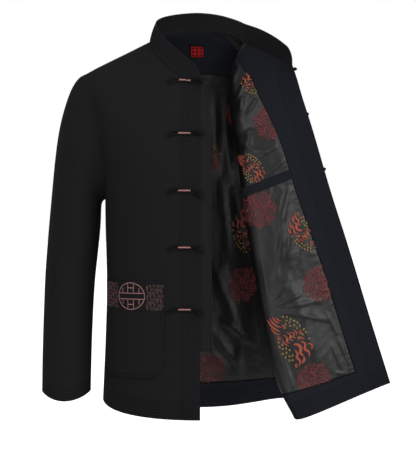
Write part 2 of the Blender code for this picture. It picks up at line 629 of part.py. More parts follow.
# ---- pockets -------------------------------------------------------------------------------
def make_pocket(side, panel, flip, rise):
    """A patch pocket with round lower corners and a separate band along its top."""
    middle_row = panel.row_at(panel.columns, POCKET["band_bottom"] + rise)
    near, far = (panel.column_at(middle_row, POCKET[end], from_end=True)
                 for end in ("near", "far"))
    corner = POCKET["corner"]
    lengths = [POCKET["near"] + corner * k for k in (0.12, 0.4, 1)] \
        + [POCKET["far"] - corner * k for k in (0.12, 0.4, 1)]
    more = [panel.column_at(middle_row, s, from_end=True) for s in lengths]
    cols = with_whole(far, near, more)

    def rows_between(top, bottom, count, rounded):
        grid = []
        for step in np.linspace(0, 1, count + 1):
            line = []
            for c in cols:
                here = np.interp(c, *zip(*sorted((panel.column_at(middle_row, s, from_end=True), s)
                                                 for s in np.linspace(0.04, 0.23, 40))))
                from_end = min(here - POCKET["near"], POCKET["far"] - here)
                short = 0.0
                if rounded and from_end < corner:
                    short = corner - math.sqrt(max(0.0, corner ** 2 - (corner - from_end) ** 2))
                lift = rise - POCKET["far_drop"] * (here - POCKET["near"]) \
                    / (POCKET["far"] - POCKET["near"])
                high, low = panel.row_at(c, top + lift), panel.row_at(c, bottom + lift + short)
                line.append(panel.at(high + (low - high) * step, c, CLOTH + POCKET_GAP))
            grid.append(line)
        return np.array(grid)

    cloth(f"pocket_band_{side}", rows_between(POCKET["band_top"], POCKET["band_bottom"] + SEAM, 2,
                                              False), CLOTH, COPPER, flip=flip)
    cloth(f"pocket_{side}", rows_between(POCKET["band_bottom"], POCKET["bottom"], 4, True), CLOTH,
          BLACK, flip=flip)


# ---- frogs ---------------------------------------------------------------------------------
def seen_from_front(names):
    """A test for what a line of sight along +Y meets first on the named pieces: the point, the
    way out there and the wall."""
    graph = bpy.context.evaluated_depsgraph_get()
    trees = [(BVHTree.FromObject(JACKET.objects[name], graph),
              COLLAR_WALL if name == "collar" else CLOTH) for name in names]

    def first(x, z):
        for aside in (0.0, -0.0008, 0.0008, -0.0016, 0.0016):  # past the slit of a seam
            hits = [(*tree.ray_cast(Vector((x, -1.0, z + aside)), Vector((0.0, 1.0, 0.0))), wall)
                    for tree, wall in trees]
            hits = [(hit[3], np.array(hit[0]), np.array(hit[1]), hit[4]) for hit in hits if hit[0]]
            if hits:
                return min(hits, key=lambda hit: hit[0])[1:]
        raise ValueError(f"no cloth at {x:.4f}, {z:.4f}")

    return first


def edge_place(surface, height):
    """Where a front edge passes a height, and the way inwards from it, square to the edge."""
    row = surface.row_at(surface.columns, height)
    here = surface.at(row, surface.columns)
    along = surface.at(min(row + 1, surface.rows), surface.columns) - here
    along = np.array((along[0], along[2])) / math.hypot(along[0], along[2])
    above = height - here[2]  # a frog on the collar's end is above the front's own edge
    return np.array((here[0], here[2])) - along * above, np.array((along[1], -along[0])), along


def on_cloth(first, edge, inward, down, line, side, radius):
    """The points of a line of (inward, sideways) places, laid on the cloth."""
    points = []
    for along, across in line:
        at = edge + inward * max(along, 0.0012) + down * across
        hit, normal, wall = first(*at)
        # Outside is towards the viewer on the right front, away on the turned-back left one.
        out = radius + CORD_LIFT if side == "right" else -(wall + radius + BEHIND_LIFT)
        point = hit + normal * out
        if along < 0.0012 and side == "left":
            point[1] += BEHIND_LIFT  # round the edge of the collar's lower end
        point += np.array((inward[0], 0.0, inward[1])) * (along - max(along, 0.0012))
        points.append(point)
    return points


def droop(along):
    return TAIL_DROOP * max(0.0, (along - DROOP_START) / (FROG_LINE[-1][0] - DROOP_START)) ** 2


def make_right_frog(number, first, surface, height, drop):
    edge, inward, down = edge_place(surface, height)
    there = [(s, w) for s, w in FROG_LINE]
    line = [(s, w) for s, w in there] + [(s, -w) for s, w in there[::-1]]
    line = [(s, w + droop(s) + drop * max(0.0, 1 - s / KNOT_REACH)) for s, w in line]
    cord(f"frog_right_{number}", on_cloth(first, edge, inward, down, line, "right", CORD_RADIUS),
         CORD_RADIUS, BLACK)
    bar = [(s, 0.0) for s in np.linspace(BAR["start"], BAR["end"], 3)]
    cord(f"bar_right_{number}", on_cloth(first, edge, inward, down, bar, "right", BAR["radius"]),
         BAR["radius"], COPPER)
    spot = on_cloth(first, edge, inward, down, [(-KNOT_OUT, drop)], "right",
                    KNOT_HEIGHT - CORD_LIFT)[0]
    bpy.ops.mesh.primitive_ico_sphere_add(subdivisions=2, radius=KNOT_RADIUS, location=spot)
    knot = bpy.context.object
    knot.name = f"knot_{number}"
    knot.data.materials.append(material(knot.name, BLACK, 0.6))
    for collection in knot.users_collection:
        collection.objects.unlink(knot)
    JACKET.objects.link(knot)


def make_left_frog(number, first, surface, height):
    edge, inward, down = edge_place(surface, height)
    out = LOOP_OUT if number <= LOOPS_SHOWING else LOOP_IN
    loop = [(-out + s, w) for s, w in ((0.0, 0.0008), (0.0012, 0.0028))]
    side = loop + [(s, w) for s, w in FROG_LINE[1:-1]] + [(FROG_LINE[-1][0], 0.0019)]
    line = [(s, w) for s, w in side[::-1]] + [(s, -w) for s, w in side]
    line = [(s, w + droop(s)) for s, w in line]
    cord(f"frog_left_{number}", on_cloth(first, edge, inward, down, line, "left", CORD_RADIUS),
         CORD_RADIUS, BLACK)
    bar = [(s, 0.0) for s in np.linspace(BAR["start"], BAR["end"], 3)]
    cord(f"bar_left_{number}", on_cloth(first, edge, inward, down, bar, "left", BAR["radius"]),
         BAR["radius"], COPPER)


def make_frogs(right, left):
    first = seen_from_front(("front_right", "collar"))
    for number, (height, drop) in enumerate(zip(FROG_HEIGHTS, KNOT_DROPS), 1):
        make_right_frog(number, first, right, height, drop)
    first = seen_from_front(("front_left", "collar"))
    for number, height in enumerate(LOOP_HEIGHTS, 1):
        make_left_frog(number, first, left, height)


def main():
    right, back, left = make_panels()
    make_sleeve("sleeve_right", SLEEVE_RIGHT, RIGHT_SEAMS, SLEEVE_START["right"], flip=False)
    make_sleeve("sleeve_left", SLEEVE_LEFT, LEFT_SEAMS, SLEEVE_START["left"], flip=True)
    make_collar(right, back, left)
    make_back_inside(back)
    make_left_inside(left)
    make_under_placket(right)
    make_pocket("right", right, False, 0.0)
    make_pocket("left", left, True, LEFT_POCKET_RISE)
    make_frogs(right, left)


for old in list(bpy.data.objects):
    bpy.data.objects.remove(old, do_unlink=True)
JACKET = bpy.data.collections.new("tang_jacket")
bpy.context.scene.collection.children.link(JACKET)
main()
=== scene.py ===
"""The looks of a lined tang jacket in black cloth, hollow as if worn, its left front swung open.

Every piece is a thin shell on the form of its CAD solid, worked out from the same sizes, with
finer rows and columns, soft folds, stitch rows and a procedural material. Metres, +Z up; the
wearer faces -Y. A piece's UVs are in metres along its cloth.
"""

import math

import bpy
import numpy as np
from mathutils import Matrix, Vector
from mathutils.bvhtree import BVHTree


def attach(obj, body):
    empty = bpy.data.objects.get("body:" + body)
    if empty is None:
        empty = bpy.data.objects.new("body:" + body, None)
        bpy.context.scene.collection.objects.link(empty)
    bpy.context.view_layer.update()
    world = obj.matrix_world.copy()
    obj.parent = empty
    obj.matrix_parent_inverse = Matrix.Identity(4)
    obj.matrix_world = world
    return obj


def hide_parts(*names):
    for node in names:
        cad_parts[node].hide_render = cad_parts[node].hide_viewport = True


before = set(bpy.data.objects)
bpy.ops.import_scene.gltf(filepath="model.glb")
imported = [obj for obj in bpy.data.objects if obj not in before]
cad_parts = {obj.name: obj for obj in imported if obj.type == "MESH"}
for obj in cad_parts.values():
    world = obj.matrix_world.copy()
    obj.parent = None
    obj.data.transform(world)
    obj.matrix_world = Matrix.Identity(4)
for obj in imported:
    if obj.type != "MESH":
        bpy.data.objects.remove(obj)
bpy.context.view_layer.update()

# ---- the garment's sizes, as in its CAD source ------------------------------------------------
CLOTH = 0.0020  # wall of the outer cloth
THIN = 0.0010  # wall of the lining, facings and label
COLLAR_WALL = 0.0026
GAP = 0.0005  # between a piece and what it lies on
SEAM = 0.0005  # between two pieces along a seam
LINING_SEAM = 0.0030  # between two linings, where the walls turn towards each other
TURNED_SEAM = {"neck": 0.008, "tip": 0.009}  # where they turn sharply, on the left

HEM_FACING = 0.040
HEM_SHARE = 0.104  # of the side seam, which the last row of a panel spans: the hem facing
ROWS = {"shoulder": 4, "side": 9}  # rows of each CAD panel, by section
BACK_COLUMNS = 11  # of each half of the CAD back
CROWDING = 1.45  # columns crowd towards the seams, where a panel turns most

# Where each section of a panel starts, as a share of the way from neck seam to hem.
AT_TIP, AT_ARMPIT = 0.16, 0.44

# The right shoulder, armhole and side seam.
NECK_RIGHT = (-0.096, 0.012, 0.000)
TIP_RIGHT = (-0.226, 0.012, -0.060)
ARMPIT_RIGHT = (-0.182, 0.000, -0.297)
SIDE_RIGHT = (ARMPIT_RIGHT, (-0.1785, 0.000, -0.440), (-0.182, 0.000, -0.560),
              (-0.188, 0.000, -0.680))
# The left ones: this shoulder is drawn back behind the open front.
NECK_LEFT = (0.078, 0.056, 0.008)
TIP_LEFT = (0.168, 0.115, -0.075)
ARMPIT_LEFT = (0.150, 0.040, -0.300)
SIDE_LEFT = (ARMPIT_LEFT, (0.152, 0.020, -0.430), (0.165, 0.008, -0.560), (0.182, 0.000, -0.690))

# An armhole is an oval from the shoulder tip to the armpit, bowed in towards the body.
ARMHOLE_DEPTH = 0.067
FRONT_OF_RIGHT = (0.0, -1.0, 0.0)
FRONT_OF_LEFT = (0.35, -0.94, 0.0)
BOW_RIGHT = {"front": (0.020, 0.0, 0.0), "back": (0.014, 0.0, 0.0)}
BOW_LEFT = {"front": (-0.034, -0.006, 0.0), "back": (-0.006, -0.006, 0.0)}
RIGHT_SEAMS = (NECK_RIGHT, TIP_RIGHT, ARMPIT_RIGHT, SIDE_RIGHT, FRONT_OF_RIGHT, BOW_RIGHT)
LEFT_SEAMS = (NECK_LEFT, TIP_LEFT, ARMPIT_LEFT, SIDE_LEFT, FRONT_OF_LEFT, BOW_LEFT)

# Rows of the right front. A row leaves its seam along `leave` and reaches the front edge at
# `edge`, coming from the side of `reach`.
FRONT_RIGHT = (
    # down  leave                      edge                        reach
    (0.00, (-0.004, -0.034, -0.016), (0.000, -0.058, -0.084), (-0.036, 0.002, 0.012)),
    (0.08, (-0.002, -0.042, -0.010), (0.000, -0.086, -0.106), (-0.066, 0.002, 0.008)),
    (0.16, (0.000, -0.050, -0.006), (0.000, -0.106, -0.134), (-0.088, 0.000, 0.004)),
    (0.30, (0.026, -0.052, -0.004), (0.000, -0.128, -0.210), (-0.100, 0.000, 0.000)),
    (0.44, (0.000, -0.080, 0.000), (0.000, -0.136, -0.306), (-0.112, 0.000, 0.000)),
    (0.72, (0.000, -0.080, 0.000), (0.000, -0.134, -0.500), (-0.112, 0.000, 0.000)),
    (1.00, (0.000, -0.080, -0.012), (0.000, -0.132, -0.698), (-0.112, 0.000, 0.000)),
)

# Rows of the back's two halves, from the side seams to the centre back.
BACK_RIGHT = (
    # down  leave                     centre                     reach
    (0.00, (0.004, 0.026, 0.012), (-0.006, 0.056, 0.026), (-0.038, 0.000, -0.001)),
    (0.08, (0.002, 0.040, 0.006), (-0.006, 0.084, -0.010), (-0.070, 0.000, 0.000)),
    (0.16, (0.000, 0.050, 0.004), (-0.005, 0.101, -0.052), (-0.095, 0.000, 0.000)),
    (0.30, (0.024, 0.050, 0.000), (-0.003, 0.118, -0.150), (-0.100, 0.000, 0.000)),
    (0.44, (0.000, 0.072, 0.000), (0.000, 0.123, -0.270), (-0.105, 0.000, 0.000)),
    (0.72, (0.000, 0.072, 0.000), (0.000, 0.120, -0.490), (-0.105, 0.000, 0.000)),
    (1.00, (0.000, 0.072, 0.000), (0.000, 0.120, -0.7255), (-0.105, 0.000, 0.000)),
)
BACK_LEFT = (
    # down  leave                     centre                     reach
    (0.00, (-0.028, 0.006, 0.009), (-0.006, 0.056, 0.026), (0.030, 0.000, 0.000)),
    (0.08, (0.004, 0.024, 0.004), (-0.006, 0.084, -0.010), (0.060, 0.000, 0.000)),
    (0.16, (0.010, 0.034, 0.000), (-0.005, 0.101, -0.052), (0.080, 0.006, 0.000)),
    (0.30, (-0.020, 0.030, 0.000), (-0.003, 0.118, -0.150), (0.070, 0.003, 0.000)),
    (0.44, (0.008, 0.046, 0.000), (0.000, 0.123, -0.270), (0.085, 0.000, 0.000)),
    (0.72, (0.002, 0.060, 0.000), (0.000, 0.120, -0.490), (0.095, 0.000, 0.000)),
    (1.00, (0.000, 0.072, 0.000), (0.000, 0.120, -0.7255), (0.105, 0.000, 0.000)),
)

# Rows of the open left front: off its seam along `leave`, round a fold at `fold` (passed
# along `turn`), and out to the front edge, reached from the side of `reach`.
FRONT_LEFT = (
    # down  leave                    fold                      turn
    (0.00, (0.004, -0.001, -0.002), (0.087, 0.0535, 0.003), (0.012, -0.004, -0.005)),
    (0.06, (-0.004, -0.018, -0.006), (0.068, 0.038, -0.034), (0.003, -0.018, -0.006)),
    (0.16, (-0.014, -0.042, -0.002), (0.059, 0.004, -0.092), (0.000, -0.026, -0.002)),
    (0.30, (-0.016, -0.026, 0.000), (0.070, -0.040, -0.190), (0.000, -0.028, 0.000)),
    (0.44, (0.002, -0.044, 0.000), (0.085, -0.052, -0.300), (0.000, -0.030, 0.000)),
    (0.63, (0.002, -0.040, 0.000), (0.106, -0.058, -0.434), (0.000, -0.032, 0.000)),
    (0.82, (0.000, -0.036, 0.000), (0.132, -0.066, -0.566), (0.004, -0.030, 0.000)),
    (0.93, (0.003, -0.036, 0.000), (0.154, -0.078, -0.650), (0.008, -0.022, -0.001)),
    (1.00, (0.005, -0.036, -0.004), (0.184, -0.092, -0.704), (0.010, -0.012, -0.001)),
)
LEFT_EDGE = (
    # down  edge                      reach                     width of the facing
    (0.00, (0.173, -0.050, -0.042), (-0.018, 0.030, 0.010), 0.130),
    (0.06, (0.180, -0.050, -0.064), (-0.040, 0.014, 0.006), 0.105),
    (0.16, (0.190, -0.048, -0.099), (-0.050, -0.004, -0.002), 0.081),
    (0.30, (0.213, -0.042, -0.169), (-0.055, -0.010, -0.004), 0.067),
    (0.44, (0.244, -0.036, -0.272), (-0.060, -0.012, -0.008), 0.065),
    (0.63, (0.285, -0.031, -0.397), (-0.065, -0.014, -0.012), 0.061),
    (0.82, (0.325, -0.028, -0.526), (-0.070, -0.018, -0.018), 0.060),
    (1.00, (0.364, -0.025, -0.648), (-0.070, -0.022, -0.022), 0.060),
)

# Rings of the sleeves: the outer and the inner point of each, and half its depth.
SLEEVE_RIGHT = (
    # outer                    inner                      half depth
    ((-0.250, 0.008, -0.096), (-0.189, 0.004, -0.305), 0.069),
    ((-0.265, 0.008, -0.147), (-0.190, 0.004, -0.322), 0.068),
    ((-0.275, 0.007, -0.204), (-0.191, 0.004, -0.345), 0.066),
    ((-0.285, 0.004, -0.299), (-0.195, 0.002, -0.388), 0.062),
    ((-0.296, 0.000, -0.421), (-0.202, 0.000, -0.452), 0.057),
    ((-0.300, -0.004, -0.500), (-0.206, -0.004, -0.516), 0.055),
    ((-0.303, -0.008, -0.583), (-0.209, -0.008, -0.590), 0.053),
    ((-0.305, -0.010, -0.664), (-0.211, -0.010, -0.665), 0.052),
)
SLEEVE_LEFT = (
    # outer                    inner                      half depth
    ((0.185, 0.118, -0.106), (0.158, 0.048, -0.310), 0.066),
    ((0.198, 0.121, -0.150), (0.163, 0.056, -0.327), 0.064),
    ((0.210, 0.122, -0.206), (0.167, 0.068, -0.351), 0.061),
    ((0.229, 0.120, -0.300), (0.170, 0.086, -0.392), 0.057),
    ((0.241, 0.118, -0.421), (0.168, 0.100, -0.454), 0.054),
    ((0.246, 0.116, -0.500), (0.168, 0.106, -0.517), 0.052),
    ((0.249, 0.112, -0.583), (0.168, 0.108, -0.590), 0.051),
    ((0.251, 0.108, -0.664), (0.169, 0.108, -0.665), 0.050),
)
CUFF_DIP = 0.012  # the front of a cuff hangs this much lower than its sides
SLEEVE_START = {"right": (-0.0055, 0.0, -0.0025), "left": (0.0042, 0.0026, -0.0036)}

# The collar stands on the neck seam: its height, how far its top leans in, and how far its
# base clears the seam, round the neck.
COLLAR = (
    # round  height  lean   lift
    (0.00, 0.038, 0.004, 0.0004),
    (0.12, 0.044, 0.007, 0.0004),
    (0.30, 0.040, 0.012, 0.0004),
    (0.48, 0.034, 0.012, 0.0004),
    (0.62, 0.033, 0.006, 0.0010),
    (0.80, 0.036, -0.006, 0.0012),
    (0.90, 0.034, -0.003, 0.0012),
    (1.00, 0.026, 0.000, 0.0012),
)
COLLAR_CORNER = 0.019  # radius of its front corners

UNDER_PLACKET = {"top": -0.088, "bottom": -0.569, "behind": 0.030, "past_top": 0.016,
                 "past_bottom": 0.023}
YOKE_COLUMNS = 4  # to each side of the centre back
LABEL = {"half_width": 0.014, "top": 0.004, "bottom": -0.022}
WELT = {"inner": -0.272, "outer": -0.238, "height": 0.017}
POCKET = {"near": 0.0645, "far": 0.222, "far_drop": 0.008, "band_top": -0.438,
          "band_bottom": -0.496, "bottom": -0.622, "corner": 0.036}
LEFT_POCKET_RISE = 0.030  # rows of the open front slope, so its pocket is set this much higher

# The frogs lie square to the front edges; a height is where one meets its edge.
FROG_HEIGHTS = (-0.071, -0.168, -0.272, -0.376, -0.491)
KNOT_DROPS = (0.000, 0.000, 0.007, 0.003, 0.006)
LOOP_HEIGHTS = (-0.050, -0.134, -0.238, -0.338, -0.446)
LOOPS_SHOWING = 3  # the others are turned in behind the edge
LOOP_OUT, LOOP_IN = 0.0055, -0.004
CORD_RADIUS = 0.0014
FROG_LINE = (
    # from the edge, from the middle line
    (0.0040, 0.0017),
    (0.0160, 0.0035),
    (0.0300, 0.0035),
    (0.0450, 0.0035),
    (0.0545, 0.0038),
    (0.0590, 0.0020),
)
KNOT_REACH = 0.015  # a knot's drop draws the cord down this far in
TAIL_DROOP, DROOP_START = 0.006, 0.044
BAR = {"start": 0.0195, "end": 0.0435, "radius": 0.0016}
KNOT_RADIUS, KNOT_OUT, KNOT_HEIGHT = 0.0060, 0.0031, 0.0056

# ---- sizes of the looks -----------------------------------------------------------------------
FINE = {"shoulder": 24, "armhole": 44, "side": 72, "hem": 34}  # rows, section by section
ROW_TIP = FINE["shoulder"]
ROW_ARMPIT = ROW_TIP + FINE["armhole"]
ROW_HEM = ROW_ARMPIT + FINE["side"]  # the row along the hem facing's top
LAST_ROW = ROW_HEM + FINE["hem"]
DENSE = 121  # places along each curve of a row
FOLD = DENSE - 1  # the place of the fold on the open left front
EASE_TIP, EASE_ARMPIT = (15, 30), (26, 40)  # rows eased above and below
EASE_TURNS = {"worn": (90, 160), "open": (30, 30)}  # at the tip and the armpit

# Stitch rows: distances from an edge.
PLACKET_ROWS = [0.0026 + 0.0056 * k for k in range(7)]
HEM_ROWS = [0.0050 + 0.0056 * k for k in range(6)]
CUFF_ROWS = [0.006 + 0.0066 * k for k in range(4)]
COLLAR_STITCHES = [0.0035 + 0.0052 * k for k in range(6)]
UNDER_PLACKET_ROWS = [0.003]
POCKET_ROWS = [0.0022, 0.0085]
STITCH_DEPTH, STITCH_WIDTH = 0.0005, 0.0009
THIN_DEPTH = 0.8 * STITCH_DEPTH  # in thin cloth
INNER_SHARE = 0.7  # how much of a stitch row's painted shade shows on a piece's inner face
STITCH_SHADE = 0.42  # painted shade: how much darker a stitch row is coloured, for the shade in its groove
CENTRE_SEAM = {"width": 0.0012, "depth": 0.9}  # down the back, pressed in and darkened with painted shade like a stitch row
EDGE_ZONE, EDGE_STEP = 0.042, 0.00105  # the stitched part beside a front edge
PLAIN_PLACES = {"right": 56, "left": 84}  # across the rest of a front
BACK_HALF = 61  # columns of each half of the back

SLEEVE_AROUND = 2 * FINE["armhole"]  # a line of the sleeve meets each row of the panels
HEAD = (0.0, 0.06, 0.14, 0.24, 0.36, 0.5, 0.65, 0.82)  # rings from the seam to the first table row
HEAD_PULL = 1.1  # how strongly a sleeve's head leaves the armhole
HEAD_EASE = (1, 26), 24  # rings eased above and below the seam, and how often
CUFF_ZONE, SLEEVE_LONG = 0.034, 0.6  # the cuff's finer rings, and the whole, about
SLEEVE_RINGS = (76, 33)  # above the cuff's zone, and in it
BLEND = {"columns": 40, "rings": 18, "turns": 70, "from": 0.28, "to": 0.62, "above": 14,
         "at_tip": 0.06, "tip": 0.20}  # smoothing across the right armhole
COLLAR_FINE = {"columns": 200, "corner": 9, "rows": 44, "wide": 6}

UNDER = -(CLOTH + GAP)  # where what lines the cloth lies
OVER_LINING = UNDER - THIN - GAP
INSIDE_TOP = 0.5  # the fine row where the inside starts
HEM_GAP = SEAM / 2 / HEM_FACING * FINE["hem"]  # rows between lining and hem facing, halved
BACK_COUNTS = (46, 16, 16, 46)  # columns to the yoke's edge, the centre, its edge, the seam
NEAR_CENTRE = 20  # columns of the lining that end under the yoke facing
YOKE_ACROSS, YOKE_LAP = 49, 0.6  # its columns, and how many fine rows it laps the lining
LABEL_GRID = 15
FACING_TOP, TOP_SHARE = 0.060, 0.10  # how much wider the left facing grows at its very top
FACING_MOST = 0.96  # of the way from the edge to the fold
FACING_PLACES = (10, 41)  # across the left facing's plain part and its stitched part
FOLD_COLUMNS, BEYOND_COLUMNS = 30, 61  # of the left lining, to the fold and on to the facing
CRUMPLED = {"back": 0.0011, "left": 0.0009}  # how high the linings' low waves are
FOLDS_FADE = {"back": 0.020, "left": 0.012}  # how far from its edges a lining is smooth
BACK_FOLDS_SHARE = 1.5  # of the heights in BACK_FOLDS
PAST_FOLD = (0.012, 0.020)  # where the left lining's folds start before its fold, and how soon
PUCKERS_FADE = 0.003
WELT_FROM, WELT_STANDS = 0.05, 0.0008  # its inner end, as a share of the way to the facing
WELT_GRID = (13, 31)  # rows up it and columns along it
UNDER_PLACKET_GRID = (90, 9, 10)  # rows, columns behind the front and past its edge
POCKET_GRID = {"corner": 15, "across": 44, "band": 26, "body": 60}
POCKET_STANDS, POCKET_CLOTH = 0.0004, 0.0012

CORD_FULL, STRANDS_CLOSE, KNOT_FULL = 1.22, 0.82, 1.08  # cords and knots against the CAD
BAR_SHIFT = (0.0030, 0.0044)  # a bar's ends against the CAD bar's
LOOP_SHORT = 0.0008  # a left loop against its CAD cord
LOOP_END = ((0.0, 0.0006), (0.0008, 0.0017), (0.0026, 0.0022), (0.0052, 0.0016))
LOOP_TAIL = 0.0019  # half the width of a left frog's tail end
FROG_POINTS, BAR_POINTS = 61, 25
EDGE_REACH = 0.0014  # how near to an edge the cloth is looked for
CORD_OVER, CORD_BEHIND = 0.0002, 0.0004  # clear of the cloth, on the right and the left front

MEDALLION, MEDALLION_CURLS = 0.0345, 84  # radius, and how many places it has
GOLDEN = 137.508  # degrees from one place to the next
SPRAY_NARROW = 0.74  # how far a spray is drawn in across its width
ROUNDEL = {"along": 0.56, "radius": 0.0250, "wider": 1.22, "line": 0.0017}
SCROLL = 0.0060  # from one small scroll to the next
LABEL_RED = {"down": 0.003, "half": 0.0122, "pitch": 0.0081}

# Colours and weaves.
CLOTH_BLACK = (0.0188, 0.0189, 0.0206)
FACING_BLACK = (0.0185, 0.0200, 0.0262)
PLACKET_LIT_SHARE, HEM_LIT_SHARE, BAND_SHARE = 1.15, 1.5, 0.95  # the under placket's and the back hem facing's cloths are lighter copies, painted light; the pocket band's cloth a little darker
SATIN_BLACK = (0.0085, 0.0085, 0.0090)
# The back lining's satin is coloured about twice as light as the left lining's: painted light
# where the back's inside lies in shade.
LIT_BACK_SATIN = (0.0180, 0.0180, 0.0188)
CORD_BLACK = (0.0065, 0.0065, 0.0075)
FIGURE_RED = (0.200, 0.028, 0.032)
FIGURE_CORAL = (0.37, 0.072, 0.075)
FIGURE_ORANGE = (0.74, 0.150, 0.085)
FIGURE_GOLD = (0.66, 0.400, 0.130)
COPPER_PINK = (0.66, 0.330, 0.300)
BAND_COPPER = (0.300, 0.150, 0.135)
TWILL_PITCH, RIB_PITCH, LABEL_THREAD = 0.0011, 0.0007, 0.0006

# The camera's view: 1 pixel of its frame is PIXEL metres at the target.
FRAME = (416, 460)
TARGET = np.array((0.01536, 0.0, -0.35597))
DISTANCE, ELEVATION = 2.8, math.radians(5)
PIXEL = 0.00192
FOCAL = DISTANCE / PIXEL  # in pixels
FORWARD = np.array((0.0, math.cos(ELEVATION), -math.sin(ELEVATION)))
UPWARD = np.array((0.0, math.sin(ELEVATION), math.cos(ELEVATION)))
EYE = TARGET + DISTANCE * np.array((0.0, -math.cos(ELEVATION), math.sin(ELEVATION)))
SENSOR = 36.0
FLOOR, FLOOR_HALF = -0.95, 6.0

# Heavy strokes of a spray, in its own box, 1 tall: width, then points.
SPRAY_STROKES = (
    (0.072, (-0.05, -0.10), (0.04, -0.12), (0.10, -0.20), (0.05, -0.29), (0.11, -0.37)),
    (0.064, (0.11, -0.37), (0.08, -0.45), (0.00, -0.48)),
    (0.056, (0.16, -0.08), (0.23, -0.16), (0.19, -0.25), (0.26, -0.33), (0.24, -0.42)),
    (0.050, (-0.06, -0.20), (-0.02, -0.28), (-0.07, -0.35), (-0.02, -0.43), (-0.08, -0.52)),
    (0.044, (0.10, -0.04), (0.18, -0.02), (0.25, -0.07)),
    (0.046, (0.31, -0.16), (0.38, -0.22), (0.35, -0.30)),
    (0.040, (-0.46, 0.50), (-0.43, 0.38), (-0.35, 0.28), (-0.26, 0.22)),
    (0.040, (-0.40, 0.53), (-0.37, 0.42), (-0.29, 0.33), (-0.20, 0.28)),
    (0.036, (-0.33, 0.53), (-0.30, 0.44), (-0.22, 0.37)),
    (0.036, (-0.45, 0.33), (-0.39, 0.22), (-0.30, 0.16)),
    (0.032, (-0.26, 0.50), (-0.22, 0.44), (-0.15, 0.40)),
    (0.034, (-0.22, 0.14), (-0.15, 0.07), (-0.19, -0.01), (-0.11, -0.05)),
    (0.032, (-0.12, 0.17), (-0.05, 0.10), (-0.09, 0.02), (-0.01, -0.03)),
    (0.032, (-0.02, 0.14), (0.05, 0.09), (0.01, 0.03), (0.08, 0.01)),
    (0.030, (0.06, 0.16), (0.12, 0.11), (0.10, 0.05)),
    (0.032, (-0.28, 0.06), (-0.24, -0.04), (-0.17, -0.09)),
)
# Curled ends: place, radius, where it starts in degrees, its turns, width.
SPRAY_CURLS = (
    (-0.14, 0.27, 0.045, 160, -1.1, 0.032),
    (-0.33, 0.10, 0.040, 60, 1.1, 0.030),
    (-0.14, -0.50, 0.035, 20, 1.0, 0.036),
    (0.20, 0.08, 0.035, 110, -1.1, 0.030),
)
SPRAY_BUDS = (
    (-0.08, 0.46), (0.02, 0.44), (-0.02, 0.38), (0.08, 0.38), (0.15, 0.32), (0.04, 0.32),
    (-0.06, 0.32), (0.12, 0.25), (0.21, 0.27), (0.02, 0.25), (0.26, 0.20), (0.17, 0.18),
    (0.31, 0.12), (0.24, 0.03), (0.34, 0.04), (0.14, -0.01), (-0.38, 0.04), (-0.32, -0.03),
    (-0.40, -0.06), (-0.33, -0.12), (-0.24, -0.12), (-0.38, -0.19), (-0.29, -0.20),
    (-0.19, -0.18), (-0.33, -0.28), (-0.23, -0.28), (-0.16, -0.28), (-0.28, -0.36),
    (-0.19, -0.38), (-0.14, 0.02), (0.37, -0.08), (-0.04, 0.06),
)

# Soft folds of the linings: from one place in the camera's frame to another, in pixels, then
# half width and height in metres.
LEFT_FOLDS = (
    # x0   y0     x1     y1     width   height
    (236, 102, 247, 78, 0.0042, 0.0022),
    (248, 112, 258, 97, 0.0036, 0.0018),
    (226, 60, 238, 52, 0.0040, 0.0020),
    (232, 84, 240, 66, 0.0036, 0.0018),
    (240, 136, 262, 128, 0.0060, 0.0018),
    (242, 146, 268, 152, 0.0060, 0.0018),
    (256, 158, 276, 146, 0.0045, 0.0016),
    (266, 176, 286, 158, 0.0045, 0.0016),
    (270, 184, 266, 206, 0.0050, 0.0014),
    (290, 186, 278, 232, 0.0060, 0.0022),
    (283, 190, 274, 222, 0.0040, 0.0012),
    (282, 226, 276, 280, 0.0046, 0.0016),
    (293, 218, 285, 258, 0.0040, 0.0014),
    (306, 236, 300, 262, 0.0036, 0.0010),
    (275, 306, 300, 294, 0.0046, 0.0022),
    (277, 308, 322, 300, 0.0050, 0.0016),
    (276, 311, 330, 320, 0.0050, 0.0016),
    (274, 300, 290, 276, 0.0040, 0.0014),
    (338, 338, 352, 368, 0.0034, 0.0016),
    (331, 343, 343, 372, 0.0034, 0.0015),
    (322, 350, 331, 374, 0.0036, 0.0012),
    (326, 312, 338, 336, 0.0036, 0.0010),
    (280, 350, 292, 388, 0.0060, 0.0018),
    (262, 262, 268, 300, 0.0050, 0.0014),
    (300, 326, 314, 352, 0.0060, 0.0014),
    (334, 372, 352, 376, 0.0030, 0.0014),
    (279, 206, 288, 262, 0.0150, 0.0042),
    (290, 282, 322, 378, 0.0220, 0.0060),
    (243, 96, 240, 112, 0.0055, 0.0030),
    (252, 128, 246, 150, 0.0080, 0.0030),
)
BACK_FOLDS = (
    (213, 262, 238, 330, 0.0075, 0.0026),
    (222, 262, 234, 300, 0.0050, 0.0014),
    (222, 318, 250, 343, 0.0060, 0.0026),
    (214, 332, 238, 366, 0.0060, 0.0024),
    (212, 352, 238, 378, 0.0045, 0.0020),
    (216, 370, 240, 384, 0.0038, 0.0018),
    (240, 338, 242, 386, 0.0030, 0.0022),
    (236, 350, 238, 386, 0.0024, 0.0012),
    (244, 384, 270, 382, 0.0034, 0.0018),
    (226, 92, 229, 180, 0.0060, 0.0018),
    (215, 92, 216, 170, 0.0050, 0.0014),
    (234, 190, 246, 262, 0.0065, 0.0020),
    (222, 180, 228, 250, 0.0060, 0.0016),
    (250, 300, 260, 360, 0.0060, 0.0020),
    (166, 46, 176, 34, 0.0040, 0.0022),
    (172, 52, 180, 40, 0.0036, 0.0018),
)

